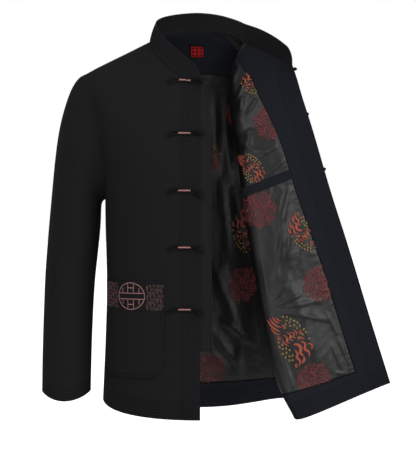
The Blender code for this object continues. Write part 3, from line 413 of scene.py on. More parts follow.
# Figures of the linings. Medallions: the pixel of the middle, then how far along the cloth the
# figure is moved from it, towards what hides it. Sprays: pixel, length in metres, lean in
# degrees, and 1 upright or -1 turned half round.
LEFT_MEDALLIONS = ((260, 209, 0.0), (321, 283, 0.0), (315, 381, 0.0), (263, 123, 0.018))
BACK_MEDALLIONS = ((242, 286, 0.0), (208, 371, 0.0), (229, 114, 0.026))
LEFT_SPRAYS = (
    (252, 81, 0.070, 20, -1), (253, 170, 0.062, 0, 1), (304, 234, 0.080, 8, -1),
    (294, 340, 0.100, 0, 1),
)
BACK_SPRAYS = ((243, 233, 0.090, 0, -1), (212, 158, 0.055, 0, 1))

# Lights: place, aim, size in metres and watts. The world shines on the cloth with WORLD_LIGHT.
LIGHTS = (
    ("key", (-0.9, -1.9, 1.5), (0.0, 0.0, -0.30), 1.3, 9.0),
    ("right", (2.2, -2.0, 0.5), (0.0, 0.0, -0.30), 1.9, 24.0),
    ("front", (-0.45, -3.0, 0.30), (0.05, 0.0, -0.35), 1.2, 3.0),
    ("low", (0.10, -2.6, -0.80), (0.08, 0.1, -0.50), 0.7, 4.0),
)
WORLD_LIGHT = 0.34


# ---- curves -----------------------------------------------------------------------------------
def smooth(table, at):
    """Values read from a table's rows (first column the key) along one smooth curve."""
    keys = np.array([row[0] for row in table], float)
    values = np.array([np.ravel(row[1]) for row in table], float)
    slopes = np.gradient(values, keys, axis=0)
    at = float(np.clip(at, keys[0], keys[-1]))
    i = int(np.clip(np.searchsorted(keys, at, side="right") - 1, 0, len(keys) - 2))
    span = keys[i + 1] - keys[i]
    t = (at - keys[i]) / span
    return (values[i] * (1 + 2 * t) * (1 - t) ** 2 + slopes[i] * span * t * (1 - t) ** 2
            + values[i + 1] * t * t * (3 - 2 * t) + slopes[i + 1] * span * t * t * (t - 1))


def column(table, k):
    """A table's key with one of its other columns."""
    return [(row[0], row[k]) for row in table]


def bezier(start, leave, reach, end, at):
    """The points at shares `at` of a cubic that leaves start along `leave` and comes to end
    from the side of `reach`."""
    t = np.array(at)[:, None]
    a, d = np.array(start), np.array(end)
    b, c = a + leave, d + reach
    return a * (1 - t) ** 3 + 3 * b * t * (1 - t) ** 2 + 3 * c * t * t * (1 - t) + d * t ** 3


def rounded_line(points, count):
    """A line through places, smoothed, with evenly spaced points."""
    points = np.asarray(points, float)
    steps = np.linalg.norm(np.diff(points, axis=0), axis=1)
    keys = np.concatenate([[0], np.cumsum(np.maximum(steps, 1e-6))])
    table = list(zip(keys, points))
    return np.array([smooth(table, k) for k in np.linspace(0, keys[-1], count)])


def lengths(points, axis):
    """Lengths along a grid, from its start, on one axis."""
    steps = np.linalg.norm(np.diff(points, axis=axis), axis=2)
    zero = np.zeros_like(np.take(steps, [0], axis=axis))
    return np.concatenate([zero, np.cumsum(steps, axis=axis)], axis=axis)


def fade(distance, width):
    """0 at an edge, rising smoothly to 1 at a width from it."""
    t = np.clip(distance / width, 0, 1)
    return t * t * (3 - 2 * t)


def round_off(radius, from_end):
    """How much a round corner takes off at a distance from its end."""
    if from_end >= radius:
        return 0.0
    return radius - math.sqrt(max(0.0, radius ** 2 - (radius - from_end) ** 2))


def armhole(tip, armpit, front, bow, turn):
    """A point of an armhole: turn is 0 at the shoulder tip, pi at the armpit."""
    tip, armpit, front = np.array(tip), np.array(armpit), np.array(front)
    side = math.sin(turn)
    pull = np.array(bow["front"] if side > 0 else bow["back"])
    return ((tip + armpit) / 2 + math.cos(turn) * (tip - armpit) / 2
            + side * ARMHOLE_DEPTH * front + side * side * pull)


def seam_point(neck, tip, armpit, side, front, bow, section, share, way):
    """A point of the line that carries a panel; way is 1 for a front and -1 for the back."""
    if section == "shoulder":
        return np.array(neck) * (1 - share) + np.array(tip) * share
    if section == "armhole":
        return armhole(tip, armpit, front, bow, way * math.pi * share)
    return smooth(list(zip(np.linspace(0, 1, len(side)), side)), share)


def stations():
    """The share of the way down of each fine row of a panel, with its section and place in
    it, dense over the hem facing."""
    sides = [*np.linspace(0, 1 - HEM_SHARE, FINE["side"] + 1)[:-1],
             *np.linspace(1 - HEM_SHARE, 1, FINE["hem"] + 1)]
    return [*((AT_TIP * s, "shoulder", s) for s in np.linspace(0, 1, FINE["shoulder"] + 1)[:-1]),
            *((AT_TIP + (AT_ARMPIT - AT_TIP) * s, "armhole", s)
              for s in np.linspace(0, 1, FINE["armhole"] + 1)[:-1]),
            *((AT_ARMPIT + (1 - AT_ARMPIT) * s, "side", s) for s in sides)]


STATIONS = stations()


# ---- panels as dense grids --------------------------------------------------------------------
def ways_out(points, flip, closed=False):
    """The way out of a grid's face at each of its points."""
    down = np.gradient(points, axis=0)
    if closed:
        points = np.concatenate([points[:, -1:], points, points[:, :1]], axis=1)
    across = np.gradient(points, axis=1)
    out = np.cross(down, across[:, 1:-1] if closed else across) * (-1 if flip else 1)
    return out / np.maximum(np.linalg.norm(out, axis=2, keepdims=True), 1e-12)


def panel_rows(table, seams, way, opposite=None):
    """A panel's rows, each from its seam to its centre line. Along the shoulder and side, a
    row leaves its seam straight on from the row of the opposite panel."""
    grid = []
    for down, section, share in STATIONS:
        leave, end, reach = (smooth(column(table, k), down) for k in (1, 2, 3))
        if opposite and section != "armhole":
            ahead = smooth(column(opposite, 1), down)
            leave = -ahead / np.linalg.norm(ahead) * np.linalg.norm(leave)
        start = seam_point(*seams, section, share, way)
        grid.append(bezier(start, leave, reach, end, np.linspace(0, 1, DENSE)))
    return np.array(grid)


def flap_rows():
    """The open left front's rows: from its seam to the fold, then on to the edge."""
    at = np.linspace(0, 1, DENSE)
    grid = []
    for down, section, share in STATIONS:
        start = seam_point(*LEFT_SEAMS, section, share, 1)
        leave, fold, turn = (smooth(column(FRONT_LEFT, k), down) for k in (1, 2, 3))
        edge, reach = (smooth(column(LEFT_EDGE, k), down) for k in (1, 2))
        back = min(1.0, 0.45 * np.linalg.norm(fold - start) / np.linalg.norm(turn))
        grid.append(np.concatenate([bezier(start, leave, -turn * back, fold, at)[:-1],
                                    bezier(fold, turn, reach, edge, at)]))
    return np.array(grid)


def eased(grid, about, reach, turns, fixed=()):
    """A grid smoothed up and down about a row; the columns given as fixed stay."""
    grid = grid.copy()
    gone = np.arange(len(grid)) - about
    weight = fade(1 - np.where(gone < 0, -gone / reach[0], gone / reach[1]), 1.0)
    weight = weight[1:-1, None, None] * 0.5
    free = np.ones(grid.shape[1])
    for stays in fixed:
        free = np.minimum(free, np.abs(np.arange(grid.shape[1]) - stays) / 4)
    for _ in range(turns):
        grid[1:-1] += ((grid[:-2] + grid[2:]) / 2 - grid[1:-1]) * weight * free[None, :, None]
    return grid


def seam_ways(front, back, flip):
    """Round an armhole, the way that the body's cloth runs on out of it, for each turn."""
    rows = slice(ROW_TIP, ROW_ARMPIT + 1)
    near, far = (-1, -4) if flip else (0, 3)
    ahead = front[rows, 0] - front[rows, 3]
    behind = back[rows, near] - back[rows, far]
    ways = np.concatenate([ahead[:-1], behind[:0:-1]])
    return ways / np.linalg.norm(ways, axis=1, keepdims=True)


def sleeve_rings(table, seams, flip, front_grid, back_grid):
    """A sleeve's rings, from its armhole to its cuff."""
    _, tip, armpit, _, front, bow = seams
    turns = [2 * math.pi * k / SLEEVE_AROUND for k in range(SLEEVE_AROUND)]
    seam_ring = np.array([armhole(tip, armpit, front, bow, t if t < math.pi else t - 2 * math.pi)
                          for t in turns])
    last = len(table) - 1
    keys = [[(j, row[i]) for j, row in enumerate(table)] for i in (0, 1, 2)]
    start = np.array(SLEEVE_START["left" if flip else "right"])

    def ring(k):
        outer, inner, depth = (smooth(key, k) for key in keys)
        share = k / last
        forward = np.array(front) * (1 - share) + np.array(FRONT_OF_RIGHT) * share
        forward = forward / np.linalg.norm(forward)
        dip = np.array((0.0, 0.0, CUFF_DIP * share ** 2))
        return np.array([(outer + inner) / 2 + math.cos(t) * (outer - inner) / 2
                         + math.sin(t) * float(depth[0]) * forward
                         - dip * max(0.0, math.sin(t)) ** 2 for t in turns])

    # The head leaves the armhole the way the body's cloth runs, most so at the shoulder.
    on, ahead = ring(0), (ring(0.02) - ring(0.0)) / 0.02
    ahead /= np.linalg.norm(ahead, axis=1, keepdims=True)
    reach = np.linalg.norm(on - seam_ring, axis=1, keepdims=True) * HEAD_PULL
    high = np.clip(np.cos(turns), 0, 1)[:, None] ** 0.7
    ways = (seam_ways(front_grid, back_grid, flip) * high
            + start / np.linalg.norm(start) * (1 - high))
    head = [seam_ring * (2 * t ** 3 - 3 * t * t + 1) + on * (3 * t * t - 2 * t ** 3)
            + ways * reach * (t ** 3 - 2 * t * t + t) + ahead * reach * (t ** 3 - t * t)
            for t in HEAD]
    whole = last * (1 - CUFF_ZONE / SLEEVE_LONG)
    above, below = SLEEVE_RINGS
    rest = (*np.linspace(0, whole, above), *np.linspace(whole, last, below)[1:])
    return eased(np.array([*head, *(ring(k) for k in rest)]), 0, *HEAD_EASE)


def across_armhole(front, back, tube):
    """Smooths the cloth across the upper part of the right armhole, where no seam shows. Each
    strip is a row of a panel and, beyond the seam, a line of the sleeve. All three grids are
    changed in place."""
    wide, rings, count = BLEND["columns"], BLEND["rings"], FINE["armhole"] + 1
    rows, seam = slice(ROW_TIP, ROW_ARMPIT + 1), wide - 1
    around = len(tube[0])
    lines = (list(range(count)), [0, *range(around - 1, around - count, -1)])
    strips = [np.concatenate([panel[rows, :wide][:, ::-1],
                              tube[:rings, line].transpose(1, 0, 2)[:, 1:]], axis=1)
              for panel, line in zip((front, back), lines)]
    before = [strip.copy() for strip in strips]
    gone = np.arange(strips[0].shape[1]) - seam
    weight = np.clip(1 - np.where(gone < 0, -gone / (seam - 1.0), gone / (rings - 2.0)), 0, 1)
    share = np.arange(count) / (count - 1)
    high = (1 - fade(share - BLEND["from"], BLEND["to"] - BLEND["from"])) \
        * (BLEND["at_tip"] + (1 - BLEND["at_tip"]) * fade(share, BLEND["tip"]))
    power = (high[:, None] * weight[None, :])[:, 1:-1, None] * 0.5
    for _ in range(BLEND["turns"]):
        for strip in strips:
            strip[:, 1:-1] += ((strip[:, :-2] + strip[:, 2:]) / 2 - strip[:, 1:-1]) * power
        tip = (strips[0][0, seam:] + strips[1][0, seam:]) / 2
        strips[0][0, seam:], strips[1][0, seam:] = tip, tip
    above = (1 - fade(np.arange(1, BLEND["above"]), BLEND["above"]))[::-1, None, None]
    first = ROW_TIP - BLEND["above"] + 1
    for k, (panel, line) in enumerate(zip((front, back), lines)):
        moved = strips[k] - before[k]
        panel[rows, :wide] += moved[:, seam::-1]
        panel[first:ROW_TIP, :wide] += moved[0, seam::-1] * above
        tube[:rings, line[k:]] += moved[k:, seam:].transpose(1, 0, 2)


class Panel:
    """A panel as a dense grid: points, the way out, and lengths across and up from the hem."""

    def __init__(self, grid, flip):
        self.points, self.flip = grid, flip
        self.centre = grid.shape[1] // 2
        self.out = ways_out(grid, flip)
        self.across = lengths(grid, 1)
        self.up = lengths(grid[::-1], 0)[::-1]

    def read(self, values, rows, places):
        """A dense array read at fractional rows and places (arrays of one shape)."""
        r = np.clip(rows, 0, values.shape[0] - 1.000001)
        k = np.clip(places, 0, values.shape[1] - 1.000001)
        r0, k0 = r.astype(int), k.astype(int)
        s, t = r - r0, k - k0
        if values.ndim == 3:
            s, t = s[..., None], t[..., None]
        return ((1 - s) * (1 - t) * values[r0, k0] + s * (1 - t) * values[r0 + 1, k0]
                + (1 - s) * t * values[r0, k0 + 1] + s * t * values[r0 + 1, k0 + 1])

    def line(self, row):
        """The lengths across along one row."""
        count = self.across.shape[1]
        return self.read(self.across, np.full(count, float(row)), np.arange(count, dtype=float))

    def place_of(self, row, length):
        """Places at lengths across a row; negative ones are counted back from its end."""
        line, length = self.line(row), np.asarray(length, float)
        length = np.where(length < 0, line[-1] + length, length)
        return np.interp(length, line, np.arange(len(line)))


def make_dense():
    """The three panels and the two sleeves' rings."""
    right = panel_rows(FRONT_RIGHT, RIGHT_SEAMS, 1)
    back = np.concatenate([panel_rows(BACK_RIGHT, RIGHT_SEAMS, -1, FRONT_RIGHT),
                           panel_rows(BACK_LEFT, LEFT_SEAMS, -1, FRONT_LEFT)[:, -2::-1]], axis=1)
    right, back, left = (
        eased(eased(grid, ROW_TIP, EASE_TIP, EASE_TURNS[how][0], fixed), ROW_ARMPIT, EASE_ARMPIT,
              EASE_TURNS[how][1])
        for grid, how, fixed in ((right, "worn", [0]), (back, "worn", [0, back.shape[1] - 1]),
                                 (flap_rows(), "open", [0])))
    rings_right = sleeve_rings(SLEEVE_RIGHT, RIGHT_SEAMS, False, right, back)
    rings_left = sleeve_rings(SLEEVE_LEFT, LEFT_SEAMS, True, left, back)
    across_armhole(right, back, rings_right)
    return Panel(right, False), Panel(back, True), Panel(left, True), rings_right, rings_left


# ---- sheets and shells ------------------------------------------------------------------------
class Sheet:
    """A piece's grid of points, with the way out and its cloth's coordinates, in metres."""
    closed = False

    def __init__(self, points, flip):
        self.points, self.flip = np.array(points), flip
        self.u = lengths(self.points, 1)
        self.v = lengths(self.points[::-1], 0)[::-1]
        self.settle()

    def move(self, height):
        """Move the points out by a height each."""
        self.points = self.points + self.out * height[..., None]

    def settle(self):
        """Take the way out anew from the points."""
        self.out = ways_out(self.points, self.flip, self.closed)


class Tube(Sheet):
    """A sleeve's grid of rings."""
    closed = True

    def __init__(self, points, flip):
        super().__init__(points, flip)
        turn = lengths(np.concatenate([points, points[:, :1]], axis=1), 1)
        self.around = float(turn[:, -1].mean())
        self.u = turn[:, :-1] / turn[:, -1:] * self.around


class Cloth(Sheet):
    """A piece's grid on a panel; places are the same in each row, or worked out for it."""

    def __init__(self, panel, rows, places, lift=0.0):
        self.flip = panel.flip
        rows = np.asarray(rows, float)
        k = np.array([places(r) for r in rows]) if callable(places) else \
            np.tile(np.asarray(places, float), (len(rows), 1))
        r = np.tile(rows[:, None], (1, k.shape[1]))
        self.out = panel.read(panel.out, r, k)
        self.out /= np.linalg.norm(self.out, axis=2, keepdims=True)
        self.points = panel.read(panel.points, r, k) + self.out * lift
        self.from_start = panel.read(panel.across, r, k)
        self.from_end = panel.read(panel.across, r, np.full_like(k, 1e9)) - self.from_start
        self.up = panel.read(panel.up, r, k)
        self.u, self.v = self.from_end, self.up

    def measure_from(self, c):
        """Has the cloth's coordinates start at a column."""
        self.u = self.from_start - self.from_start[:, c:c + 1]


def build(name, verts, faces, uvs, slots, materials):
    """An object from vertices, faces, a UV for each face corner and a material slot a face."""
    mesh = bpy.data.meshes.new(name)
    mesh.from_pydata([tuple(v) for v in verts], [], faces)
    layer = mesh.uv_layers.new(name="cloth")
    layer.data.foreach_set("uv", np.asarray(uvs, np.float32).ravel())
    for made in materials:
        mesh.materials.append(made)
    mesh.polygons.foreach_set("material_index", np.asarray(slots, np.int32))
    mesh.shade_smooth()
    mesh.update()
    piece = bpy.data.objects.new(name, mesh)
    bpy.context.scene.collection.objects.link(piece)
    return piece


def finish(piece, replaces=True):
    """A piece's body. The solid it replaces has its name, but for the last word."""
    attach(piece, "root")
    if replaces:
        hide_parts(piece.name.rsplit("_", 1)[0])
    return piece


def unit(v):
    return v / max(np.linalg.norm(v), 1e-9)


def shell(name, sheet, wall, materials, keep=None, seams=(), sunk=None):
    """A thin closed shell: a sheet's grid as its outer face, another face a wall inside it,
    and rounded edges, but for the sides named in seams, which meet another piece. keep(row,
    column) leaves faces out. The last argument is how deep a point lies in a stitch row, 0 to
    1, kept as a point attribute by which the cloth's material paints shade into the rows."""
    outer = sheet.points.reshape(-1, 3)
    inner = (sheet.points - sheet.out * wall).reshape(-1, 3)
    rows, cols = sheet.points.shape[:2]
    count = rows * cols
    uv = np.stack([sheet.u, sheet.v], axis=2)
    faces, uvs, slots, edges = [], [], [], {}
    for r in range(rows - 1):
        for c in range(cols if sheet.closed else cols - 1):
            if keep is not None and not keep(r, c):
                continue
            d = (c + 1) % cols
            quad = [r * cols + c, (r + 1) * cols + c, (r + 1) * cols + d, r * cols + d]
            spots = [uv[r, c], uv[r + 1, c], uv[r + 1, d], uv[r, d]]
            if d == 0:
                turn = np.array((sheet.around, 0.0))
                spots[2], spots[3] = spots[2] + turn, spots[3] + turn
            if sheet.flip:
                quad, spots = quad[::-1], spots[::-1]
            faces += [quad, [v + count for v in quad[::-1]]]
            uvs += [*spots, *spots[::-1]]
            slots += [0, len(materials) - 1]
            centre = outer[quad].mean(axis=0)
            for k in range(4):
                a, b = quad[k], quad[(k + 1) % 4]
                if edges.pop((b, a), None) is None:
                    edges[(a, b)] = (centre, spots[k], spots[(k + 1) % 4])
    push = {}  # for each vertex of an edge, the way out past the edge
    for (a, b), (centre, _, _) in edges.items():
        along, away = unit(outer[b] - outer[a]), (outer[a] + outer[b]) / 2 - centre
        away = unit(away - along * (away @ along))
        for v in (a, b):
            push[v] = push.get(v, 0) + away
    verts, rim = [*outer, *inner], {}
    for v, away in push.items():
        rim[v] = len(verts)
        verts.append((outer[v] + inner[v]) / 2 + unit(away) * wall * 0.45)
    for (a, b), (_, first, second) in edges.items():
        faces += [[b, a, rim[a], rim[b]], [rim[b], rim[a], a + count, b + count]]
        uvs += [second, first, first, second] * 2
        slots += [0, 0]
    used = np.zeros(len(verts), bool)
    used[[v for face in faces for v in face]] = True
    index = np.cumsum(used) - 1
    piece = build(name, [v for v, keeps in zip(verts, used) if keeps],
                  [[int(index[v]) for v in face] for face in faces], uvs, slots, materials)
    out, back = used[:count], used[count:2 * count]
    if seams:
        row, col = np.divmod(np.arange(count), cols)
        along = {"start": col == 0, "end": col == cols - 1, "top": row == 0}
        ends = np.zeros(2 * len(piece.data.edges), np.int32)
        piece.data.edges.foreach_get("vertices", ends)
        sharp = np.zeros(len(piece.data.edges), bool)
        for side in seams:
            marked = np.zeros(used.sum(), bool)
            marked[index[:count][along[side] & out]] = True
            sharp |= marked[ends.reshape(-1, 2)].all(axis=1)
        piece.data.attributes.new("sharp_edge", "BOOLEAN", "EDGE").data.foreach_set("value", sharp)
    if sunk is not None:
        depth = np.zeros(used.sum(), np.float32)
        depth[index[:count][out]] = sunk.ravel()[out]
        depth[index[count:2 * count][back]] = sunk.ravel()[back] * INNER_SHARE
        # Painted shade: this attribute darkens the cloth's colour in stitch rows.
        piece.data.attributes.new("sunk", "FLOAT", "POINT").data.foreach_set("value", depth)
    return piece


def rows_of(*zones):
    """How deep points lie in stitch rows, 0 to 1; a zone is (distances from an edge, rows)."""
    total = np.zeros_like(zones[0][0])
    for distance, lines in zones:
        for line in lines:
            total = np.maximum(total, np.exp(-((distance - line) / STITCH_WIDTH) ** 2))
    return total


def sewn(name, sheet, wall, looks, slot, rows, depth=-STITCH_DEPTH, shade=1.0, **how):
    """A piece with its stitch rows pressed in and darkened with painted shade; a row that is seen
    from inside has depth > 0.
    """
    sheet.move(depth * rows)
    sheet.settle()
    return finish(shell(name, sheet, wall, looks, sunk=rows * shade, **how))


def thin_facing(name, sheet, look, rows):
    """A facing, seen from inside."""
    sewn(name, sheet, THIN, [look], "facing_cloth", rows, THIN_DEPTH, 1 / INNER_SHARE)


def every_row(start=0.0, end=LAST_ROW):
    """Fine rows from one place to another."""
    inner = range(int(math.floor(start)) + 1, int(math.ceil(end)))
    return [start, *[r for r in inner if r - start > 0.3 and end - r > 0.3], end]


def lining_rows():
    """A lining's rows, with one more between each two."""
    rows = every_row(INSIDE_TOP, ROW_HEM - HEM_GAP)
    return [*(r for a, b in zip(rows, rows[1:]) for r in (a, (a + b) / 2)), rows[-1]]


def lay_lining(name, sheet, height, look, keep):
    """A lining raised inwards by its folds. Returns its sheet and which faces it keeps."""
    sheet.move(-np.maximum(height, 0))
    sheet.settle()
    finish(shell(name, sheet, -THIN, [look], keep=keep))
    return sheet, keep


# ---- outer cloth ------------------------------------------------------------------------------
def make_front(side, panel, materials):
    def places(row):
        """Plain places across the front, then one each millimetre in the stitched zone."""
        whole = panel.line(row)[-1]
        zone = min(EDGE_ZONE, 0.8 * whole)
        rest = (whole - zone) * np.linspace(0, 1, PLAIN_PLACES[side] + 1)[:-1]
        near = whole - np.linspace(zone, 0.0, int(EDGE_ZONE / EDGE_STEP))
        return panel.place_of(row, np.concatenate([rest, near]))

    sheet = Cloth(panel, every_row(), places)
    rows = rows_of((sheet.from_end, PLACKET_ROWS), (sheet.up, HEM_ROWS))
    return sewn(f"front_{side}_cloth", sheet, CLOTH, materials, "black_cloth", rows,
                seams=("start", "top"))


def make_back(back, materials):
    half = back.centre
    places = np.concatenate([np.linspace(0, half, BACK_HALF),
                             np.linspace(half, 2 * half, BACK_HALF)[1:]])
    sheet = Cloth(back, every_row(), places)
    middle = back.read(back.across, np.arange(LAST_ROW + 1.0), np.full(LAST_ROW + 1, float(half)))
    sheet.u = sheet.from_start - middle[:, None]
    centre = CENTRE_SEAM["depth"] * np.exp(-(sheet.u / CENTRE_SEAM["width"]) ** 2)
    rows = np.maximum(rows_of((sheet.up, HEM_ROWS)), centre)
    sewn("back_cloth", sheet, CLOTH, materials, "black_cloth", rows,
         seams=("start", "end", "top"))


def make_sleeve(side, rings, flip, materials):
    tube = Tube(rings, flip)
    sewn(f"sleeve_{side}_cloth", tube, CLOTH, materials, "black_cloth",
         rows_of((tube.v, CUFF_ROWS)), seams=("top",))


def neck_line(right, back, left):
    """The neck seam's fine points, with the length at each."""
    line = np.concatenate([right.points[0, ::-1], back.points[0, 1:], left.points[0, 1:]])
    along = np.concatenate([[0], np.cumsum(np.linalg.norm(np.diff(line, axis=0), axis=1))])
    corner = COLLAR_CORNER * (1 - np.cos(np.linspace(0, math.pi / 2, COLLAR_FINE["corner"] + 1)))
    middle = np.linspace(COLLAR_CORNER, along[-1] - COLLAR_CORNER, COLLAR_FINE["columns"])
    at = np.concatenate([corner[:-1], middle, (along[-1] - corner[:-1])[::-1]])
    return np.stack([np.interp(at, along, line[:, k]) for k in range(3)], axis=1), at


def make_collar(right, back, left, look):
    base, at = neck_line(right, back, left)
    # The way along is taken over a few points, so that the corners of the neck seam are round.
    count, wide = len(base), COLLAR_FINE["wide"]
    ahead = np.array([base[min(k + wide, count - 1)] - base[max(k - wide, 0)]
                      for k in range(count)])
    inward = np.cross((0.0, 0.0, 1.0), -ahead)
    inward /= np.linalg.norm(inward, axis=1, keepdims=True)
    ends = np.minimum(at, at[-1] - at)
    grid = np.zeros((COLLAR_FINE["rows"] + 1, count, 3))
    for c, (place, from_end) in enumerate(zip(at, ends)):
        height, lean, lift = smooth([(row[0], row[1:]) for row in COLLAR], place / at[-1])
        short = round_off(COLLAR_CORNER, from_end)
        for r in range(COLLAR_FINE["rows"] + 1):
            up = (1 - r / COLLAR_FINE["rows"]) * (height - short - lift) + lift
            grid[r, c] = base[c] + np.array((0, 0, up)) + inward[c] * lean * (up / height) ** 1.6
    sheet = Sheet(grid, True)
    # Stitch rows follow the top edge and turn down at the front corners.
    from_edge = np.minimum(lengths(sheet.points, 0), np.tile(ends, (grid.shape[0], 1)))
    return sewn("collar_cloth", sheet, COLLAR_WALL, [look], "black_cloth",
                rows_of((from_edge, COLLAR_STITCHES)))


def make_under_placket(right, look):
    sizes = UNDER_PLACKET
    edge = right.points[:, -1]
    ends = (np.interp(-sizes[k], -edge[:, 2], np.arange(len(edge))) for k in ("top", "bottom"))
    count, behind, beyond = UNDER_PLACKET_GRID
    rows = np.linspace(*ends, count)
    past = np.linspace(sizes["past_top"], sizes["past_bottom"], count)

    def places(row):
        whole = right.line(row)[-1]
        return right.place_of(row, [-sizes["behind"] * (1 - s) if s < 1 else whole
                                    for s in np.linspace(0, 1, behind)])

    inner = Cloth(right, rows, places, UNDER)
    more = np.array([[p + np.array((w * s, 0.0, 0.0)) for s in np.linspace(0, 1, beyond)[1:]]
                     for p, w in zip(inner.points[:, -1], past)])
    strip = Sheet(np.concatenate([inner.points, more], axis=1), False)
    sewn("under_placket_cloth", strip, CLOTH, [look], "black_cloth",
         rows_of((strip.u[:, -1:] - strip.u, UNDER_PLACKET_ROWS)))


def make_pocket(side, panel, rise, looks):
    """A patch pocket with round lower corners, under a band. Returns the band's sheet."""
    corner, near, far = POCKET["corner"], POCKET["near"], POCKET["far"]
    rows = np.arange(ROW_TIP, LAST_ROW + 0.01, 2.0)
    bend = corner * (1 - np.cos(np.linspace(0, math.pi / 2, POCKET_GRID["corner"])))
    straight = np.linspace(near + corner, far - corner, POCKET_GRID["across"])[1:-1]
    distances = np.concatenate([near + bend, straight, far - bend[::-1]])
    distances = distances[::-1]  # a row runs from the side seam to the front edge
    strip = Cloth(panel, rows, lambda r: panel.place_of(r, -distances))

    def grid(top, bottom, count, rounded):
        picked = np.zeros((count + 1, len(distances)))
        for c, here in enumerate(distances):
            short = round_off(corner, min(here - near, far - here)) if rounded else 0.0
            lift = rise - POCKET["far_drop"] * (here - near) / (far - near)
            ends = [np.interp(-(h + lift), -strip.points[:, c, 2], rows)
                    for h in (top, bottom + short)]
            picked[:, c] = np.linspace(*ends, count + 1)
        places = np.array([[panel.place_of(row, [-here])[0] for row, here in zip(line, distances)]
                           for line in picked])
        out = panel.read(panel.out, picked, places)
        points = panel.read(panel.points, picked, places) + out * (POCKET_CLOTH + POCKET_STANDS)
        return Sheet(points, panel.flip)

    band = grid(POCKET["band_top"], POCKET["band_bottom"] + SEAM, POCKET_GRID["band"],
                False)
    finish(shell(f"pocket_band_{side}_cloth", band, POCKET_CLOTH, [looks["band"]]))
    body = grid(POCKET["band_bottom"], POCKET["bottom"], POCKET_GRID["body"], True)
    from_side = np.minimum(body.u, body.u[:, -1:] - body.u)
    sewn(f"pocket_{side}_cloth", body, POCKET_CLOTH, [looks["cloth"]], "black_cloth",
         rows_of((np.minimum(from_side, body.v), POCKET_ROWS)), -THIN_DEPTH)
    return band


# ---- inside of the back -----------------------------------------------------------------------
def yoke_reach(back):
    """How many places the yoke facing reaches from the centre back."""
    return back.centre * (1 - (1 - YOKE_COLUMNS / BACK_COLUMNS) ** CROWDING)


def back_places(back):
    """Places across the back's inside, with the yoke facing's edges and the centre among them."""
    def places(row):
        ends = back.place_of(row, [LINING_SEAM / 2, -LINING_SEAM / 2])
        half, reach = back.centre, yoke_reach(back)
        edges = [ends[0], half - reach, half, half + reach, ends[1]]
        return np.concatenate([np.linspace(a, b, n + 1)[:-1]
                               for a, b, n in zip(edges, edges[1:], BACK_COUNTS)] + [[ends[1]]])

    return places


def make_back_lining(back, look):
    rows = lining_rows()
    sheet = Cloth(back, rows, back_places(back), UNDER)
    side, middle = BACK_COUNTS[0], sum(BACK_COUNTS[:2])
    sheet.measure_from(middle)
    yoke_rows = sum(r < ROW_TIP for r in rows)

    def keep(r, c):
        return r >= yoke_rows or c < side or c >= side + sum(BACK_COUNTS[1:3])

    edge = np.minimum(np.minimum(sheet.from_start, sheet.from_end) - LINING_SEAM / 2,
                      sheet.up - HEM_FACING)
    below_yoke = lengths(sheet.points, 0) - lengths(sheet.points, 0)[yoke_rows]
    edge = np.where(np.abs(np.arange(sheet.points.shape[1])[None, :] - middle) < NEAR_CENTRE,
                    np.minimum(edge, below_yoke), edge)
    height = (BACK_FOLDS_SHARE * folds_seen(sheet.points, BACK_FOLDS)
              + crumple(sheet, CRUMPLED["back"])) * fade(edge, FOLDS_FADE["back"])
    return lay_lining("lining_back_satin", sheet, height, look, keep)


def make_back_facings(back, looks):
    hem = Cloth(back, every_row(ROW_HEM + HEM_GAP), back_places(back), UNDER)
    hem.measure_from(sum(BACK_COUNTS[:2]))
    thin_facing("hem_facing_back_cloth", hem, looks["hem"], rows_of((hem.up, HEM_ROWS)))

    reach = yoke_reach(back) * 0.99
    yoke = Cloth(back, every_row(INSIDE_TOP, ROW_TIP + YOKE_LAP),
                 np.linspace(back.centre - reach, back.centre + reach, YOKE_ACROSS), UNDER)
    lap = fade(np.arange(yoke.points.shape[0]) - yoke.points.shape[0] + 4.0, 2.0)
    yoke.move((OVER_LINING - UNDER) * np.tile(lap[:, None], (1, yoke.points.shape[1])))
    yoke.measure_from(YOKE_ACROSS // 2)
    finish(shell("yoke_facing_cloth", yoke, THIN, [looks["facing"]]))

    heights = back.points[:, back.centre, 2]
    ends = (np.interp(-LABEL[k], -heights, np.arange(len(heights))) for k in ("top", "bottom"))
    across = np.linspace(-LABEL["half_width"], LABEL["half_width"], LABEL_GRID)
    label = Cloth(back, np.linspace(*ends, LABEL_GRID),
                  lambda row: back.place_of(row, back.line(row)[back.centre] + across),
                  OVER_LINING)
    middle = LABEL_GRID // 2
    label.measure_from(middle)
    label.v = label.up - label.up[middle:middle + 1]
    finish(shell("label_woven", label, THIN, [looks["label"]]))


# ---- inside of the left front -----------------------------------------------------------------
def facing_width(left, row):
    """The width of the left facing at a fine row."""
    downs = [down for down, _, _ in STATIONS]
    down = float(np.interp(row, np.arange(len(downs)), downs))
    line = left.line(row)
    wide = float(smooth(column(LEFT_EDGE, 3), down)[0]) + FACING_TOP * max(0.0,
                                                                           1 - down / TOP_SHARE)
    return min(wide, FACING_MOST * (line[-1] - line[FOLD]))


def half_seam(row):
    """Half the gap between the linings along the left seam at a fine row. It is wider where the
    walls turn towards each other, at the neck point and at the tip of the shoulder."""
    row = row / FINE["shoulder"] * ROWS["shoulder"]
    neck = max(0.0, 1 - row / 1.5)
    tip = max(0.0, 1 - abs(row - ROWS["shoulder"] - 0.5) / 1.6)
    return (LINING_SEAM + (TURNED_SEAM["neck"] - LINING_SEAM) * neck
            + (TURNED_SEAM["tip"] - LINING_SEAM) * tip) / 2


def left_places(left):
    """Places across the left lining: from its seam to the fold, then on to the facing."""
    def places(row):
        line = left.line(row)
        inner = line[-1] - facing_width(left, row) - SEAM / 2
        start = min(half_seam(row), 0.5 * line[FOLD])
        return left.place_of(row, np.concatenate([
            np.linspace(start, line[FOLD], FOLD_COLUMNS + 1)[:-1],
            np.linspace(line[FOLD], inner, BEYOND_COLUMNS)]))

    return places


